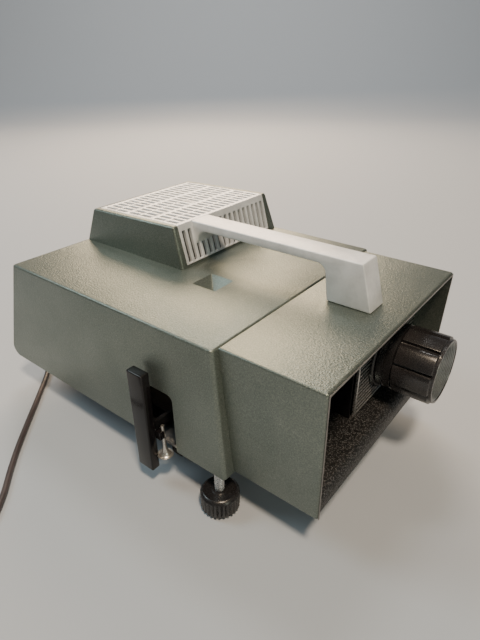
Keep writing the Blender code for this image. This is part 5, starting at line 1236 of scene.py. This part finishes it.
def make_changer_foot():
    """Flared steel lip at the foot of the changer, its web, and the dark stops under the casing's edge."""
    outside = [(LIP_RADIUS, LIP_TOP)]
    for step in range(LIP_STEPS + 1):
        angle = pi / 2 * step / LIP_STEPS
        outside.append((LIP_RADIUS + LIP_FLARE * (1 - cos(angle)),
                        LIP_LOW + LIP_HEIGHT * (1 - sin(angle))))
    inside = [(radius - LIP_WALL, height) for radius, height in outside]
    inside[-1] = (inside[-1][0], inside[-1][1] + LIP_WALL)
    lip = turned(outside + inside[::-1], (LIP_X, LIP_Y, 0), (0, 0, 1), 48)
    finish(lip, "changer_lip", "bright_steel", "changer", smooth=40)
    web = block((-BAR_OUTER + BAR_THICKNESS - GAP, LIP_Y - LIP_RADIUS, WEB_LOW),
                (LIP_X + GAP, -BAR_FRONT + LIP_RADIUS, WEB_HIGH))
    finish(bevel(web, WEB_ROUND, 2), "changer_web", "gloss_black", "changer")
    stops = []
    for rear, front, low in STOPS:
        stop = block((STOP_LEFT, -front, low), (STOP_RIGHT, -rear, FLOOR_GAP + BASE_INSET))
        stops.append(bevel(stop, STOP_ROUND))
    finish(together(stops), "rail_stops", "matt_black", "casing")


# Screw feet.
KNOB_RADIUS = 0.01385
KNOB_HEIGHT = 0.0152
KNOB_FLUTES = 28
KNOB_DOME = 0.0018
FLUTE_DEPTH = 0.0011
FLUTE_SIDES = 10
FLUTE_POWER = 1.6
SCREW_REACH = 0.014
SCREW_THREAD = 0.00125
SCREW_STEPS = 200
SCREW_SIDES = 48
THREAD_DEPTH = 0.00028
THREAD_FADE = 0.001
SCREW_NECK_INSET = 0.0007
SCREW_TIP_SHARE = 0.55
PAD_HEIGHT = 0.0016
PAD_PIN_RADIUS = 0.0028
PAD_PIN_HEIGHT = 0.0050
KNOB_LOW = PAD_HEIGHT + GAP
KNOB_HIGH = KNOB_LOW + KNOB_HEIGHT
BORE_HIGH = PAD_HEIGHT + PAD_PIN_HEIGHT + GAP

# The knob's outside, as inset from its radius, distance from an end and share of the flutes' depth.
KNOB_FOOT_EDGE = ((0.0012, 0, 0.4), (0.0004, 0.0005, 0.8), (0, 0.0012, 1))
KNOB_SHOULDER = ((0, 0.0016, 1), (0, 0.0010, 0.3), (0, 0.0006, 0), (0.0002, 0, 0))
KNOB_CREST = ((0.0016, 0.0003), (0.0022, 0), (0.0034, 0.0004))

# The raised seat round the screw, as distance outside it and depth below the knob's top.
KNOB_SEAT = ((0.0022, 0.0005), (0.0016, 0), (-0.0006, 0))


def knob_flute(angle):
    share = angle * KNOB_FLUTES / (2 * pi) % 1
    return (0.5 - 0.5 * cos(2 * pi * share)) ** FLUTE_POWER


def make_knob(word, place):
    """Fluted knob with a plain crest, bored from below for the pad's pin."""
    bore = PAD_PIN_RADIUS + GAP
    shoulder = KNOB_HIGH - KNOB_DOME
    profile = [(bore, BORE_HIGH), (bore, KNOB_LOW)]
    profile += [(KNOB_RADIUS - u, KNOB_LOW + v, share * FLUTE_DEPTH) for u, v, share in KNOB_FOOT_EDGE]
    profile += [(KNOB_RADIUS - u, shoulder - v, share * FLUTE_DEPTH) for u, v, share in KNOB_SHOULDER]
    profile += [(KNOB_RADIUS - u, KNOB_HIGH - v) for u, v in KNOB_CREST]
    profile += [(SCREW_RADIUS + u, KNOB_HIGH - v) for u, v in KNOB_SEAT]
    profile.append((SCREW_RADIUS + KNOB_SEAT[-1][0], BORE_HIGH))
    knob = turned(profile, place, (0, 0, 1), KNOB_FLUTES * FLUTE_SIDES, knob_flute)
    finish(knob, "knob_" + word, "satin_black", "knob_" + word, "foot_knob_" + word, 30)


def thread_radius(angle, height, end):
    """Radius of the screw at an angle: threaded above the knob, slimmer inside it, blunt at its tip."""
    wave = abs((height / SCREW_THREAD - angle / (2 * pi)) % 1 - 0.5) * 2
    above = smooth_step(height, KNOB_HIGH - THREAD_FADE, KNOB_HIGH + THREAD_FADE)
    tip = min(1.0, (end - height) / THREAD_FADE + SCREW_TIP_SHARE)
    thread = THREAD_DEPTH * smooth_step(wave, 0.15, 0.85) * above
    return (SCREW_RADIUS - thread - SCREW_NECK_INSET * (1 - above)) * tip


def make_screw(word, place):
    """Threaded steel screw that stands in its knob and runs up into the casing."""
    start = BORE_HIGH + GAP
    end = FLOOR_GAP + BASE_INSET + BASE_THICKNESS + SCREW_REACH
    rings = []
    for step in range(SCREW_STEPS + 1):
        height = start + (end - start) * step / SCREW_STEPS
        rings.append(round_ring(lambda angle: thread_radius(angle, height, end), height, SCREW_SIDES))
    screw = loft(rings, Matrix.Translation(place))
    finish(screw, "foot_thread_" + word, "plated_steel", "knob_" + word, smooth=60)


def make_feet():
    for side, word in ((-1, "left"), (1, "right")):
        place = (side * FRONT_FOOT_X, FRONT_FOOT_Y, 0)
        make_knob(word, place)
        make_screw(word, place)


make_finishes()
add_camera()
add_floor()
add_lights()
dress_nodes()
make_cord()
make_rear_housing()
make_front_housing()
make_mouth_edge()
make_grille()
make_ring()
make_cone_lining()
make_lens_tube()
make_front_plate()
make_pan()
make_changer()
make_changer_foot()
make_feet()
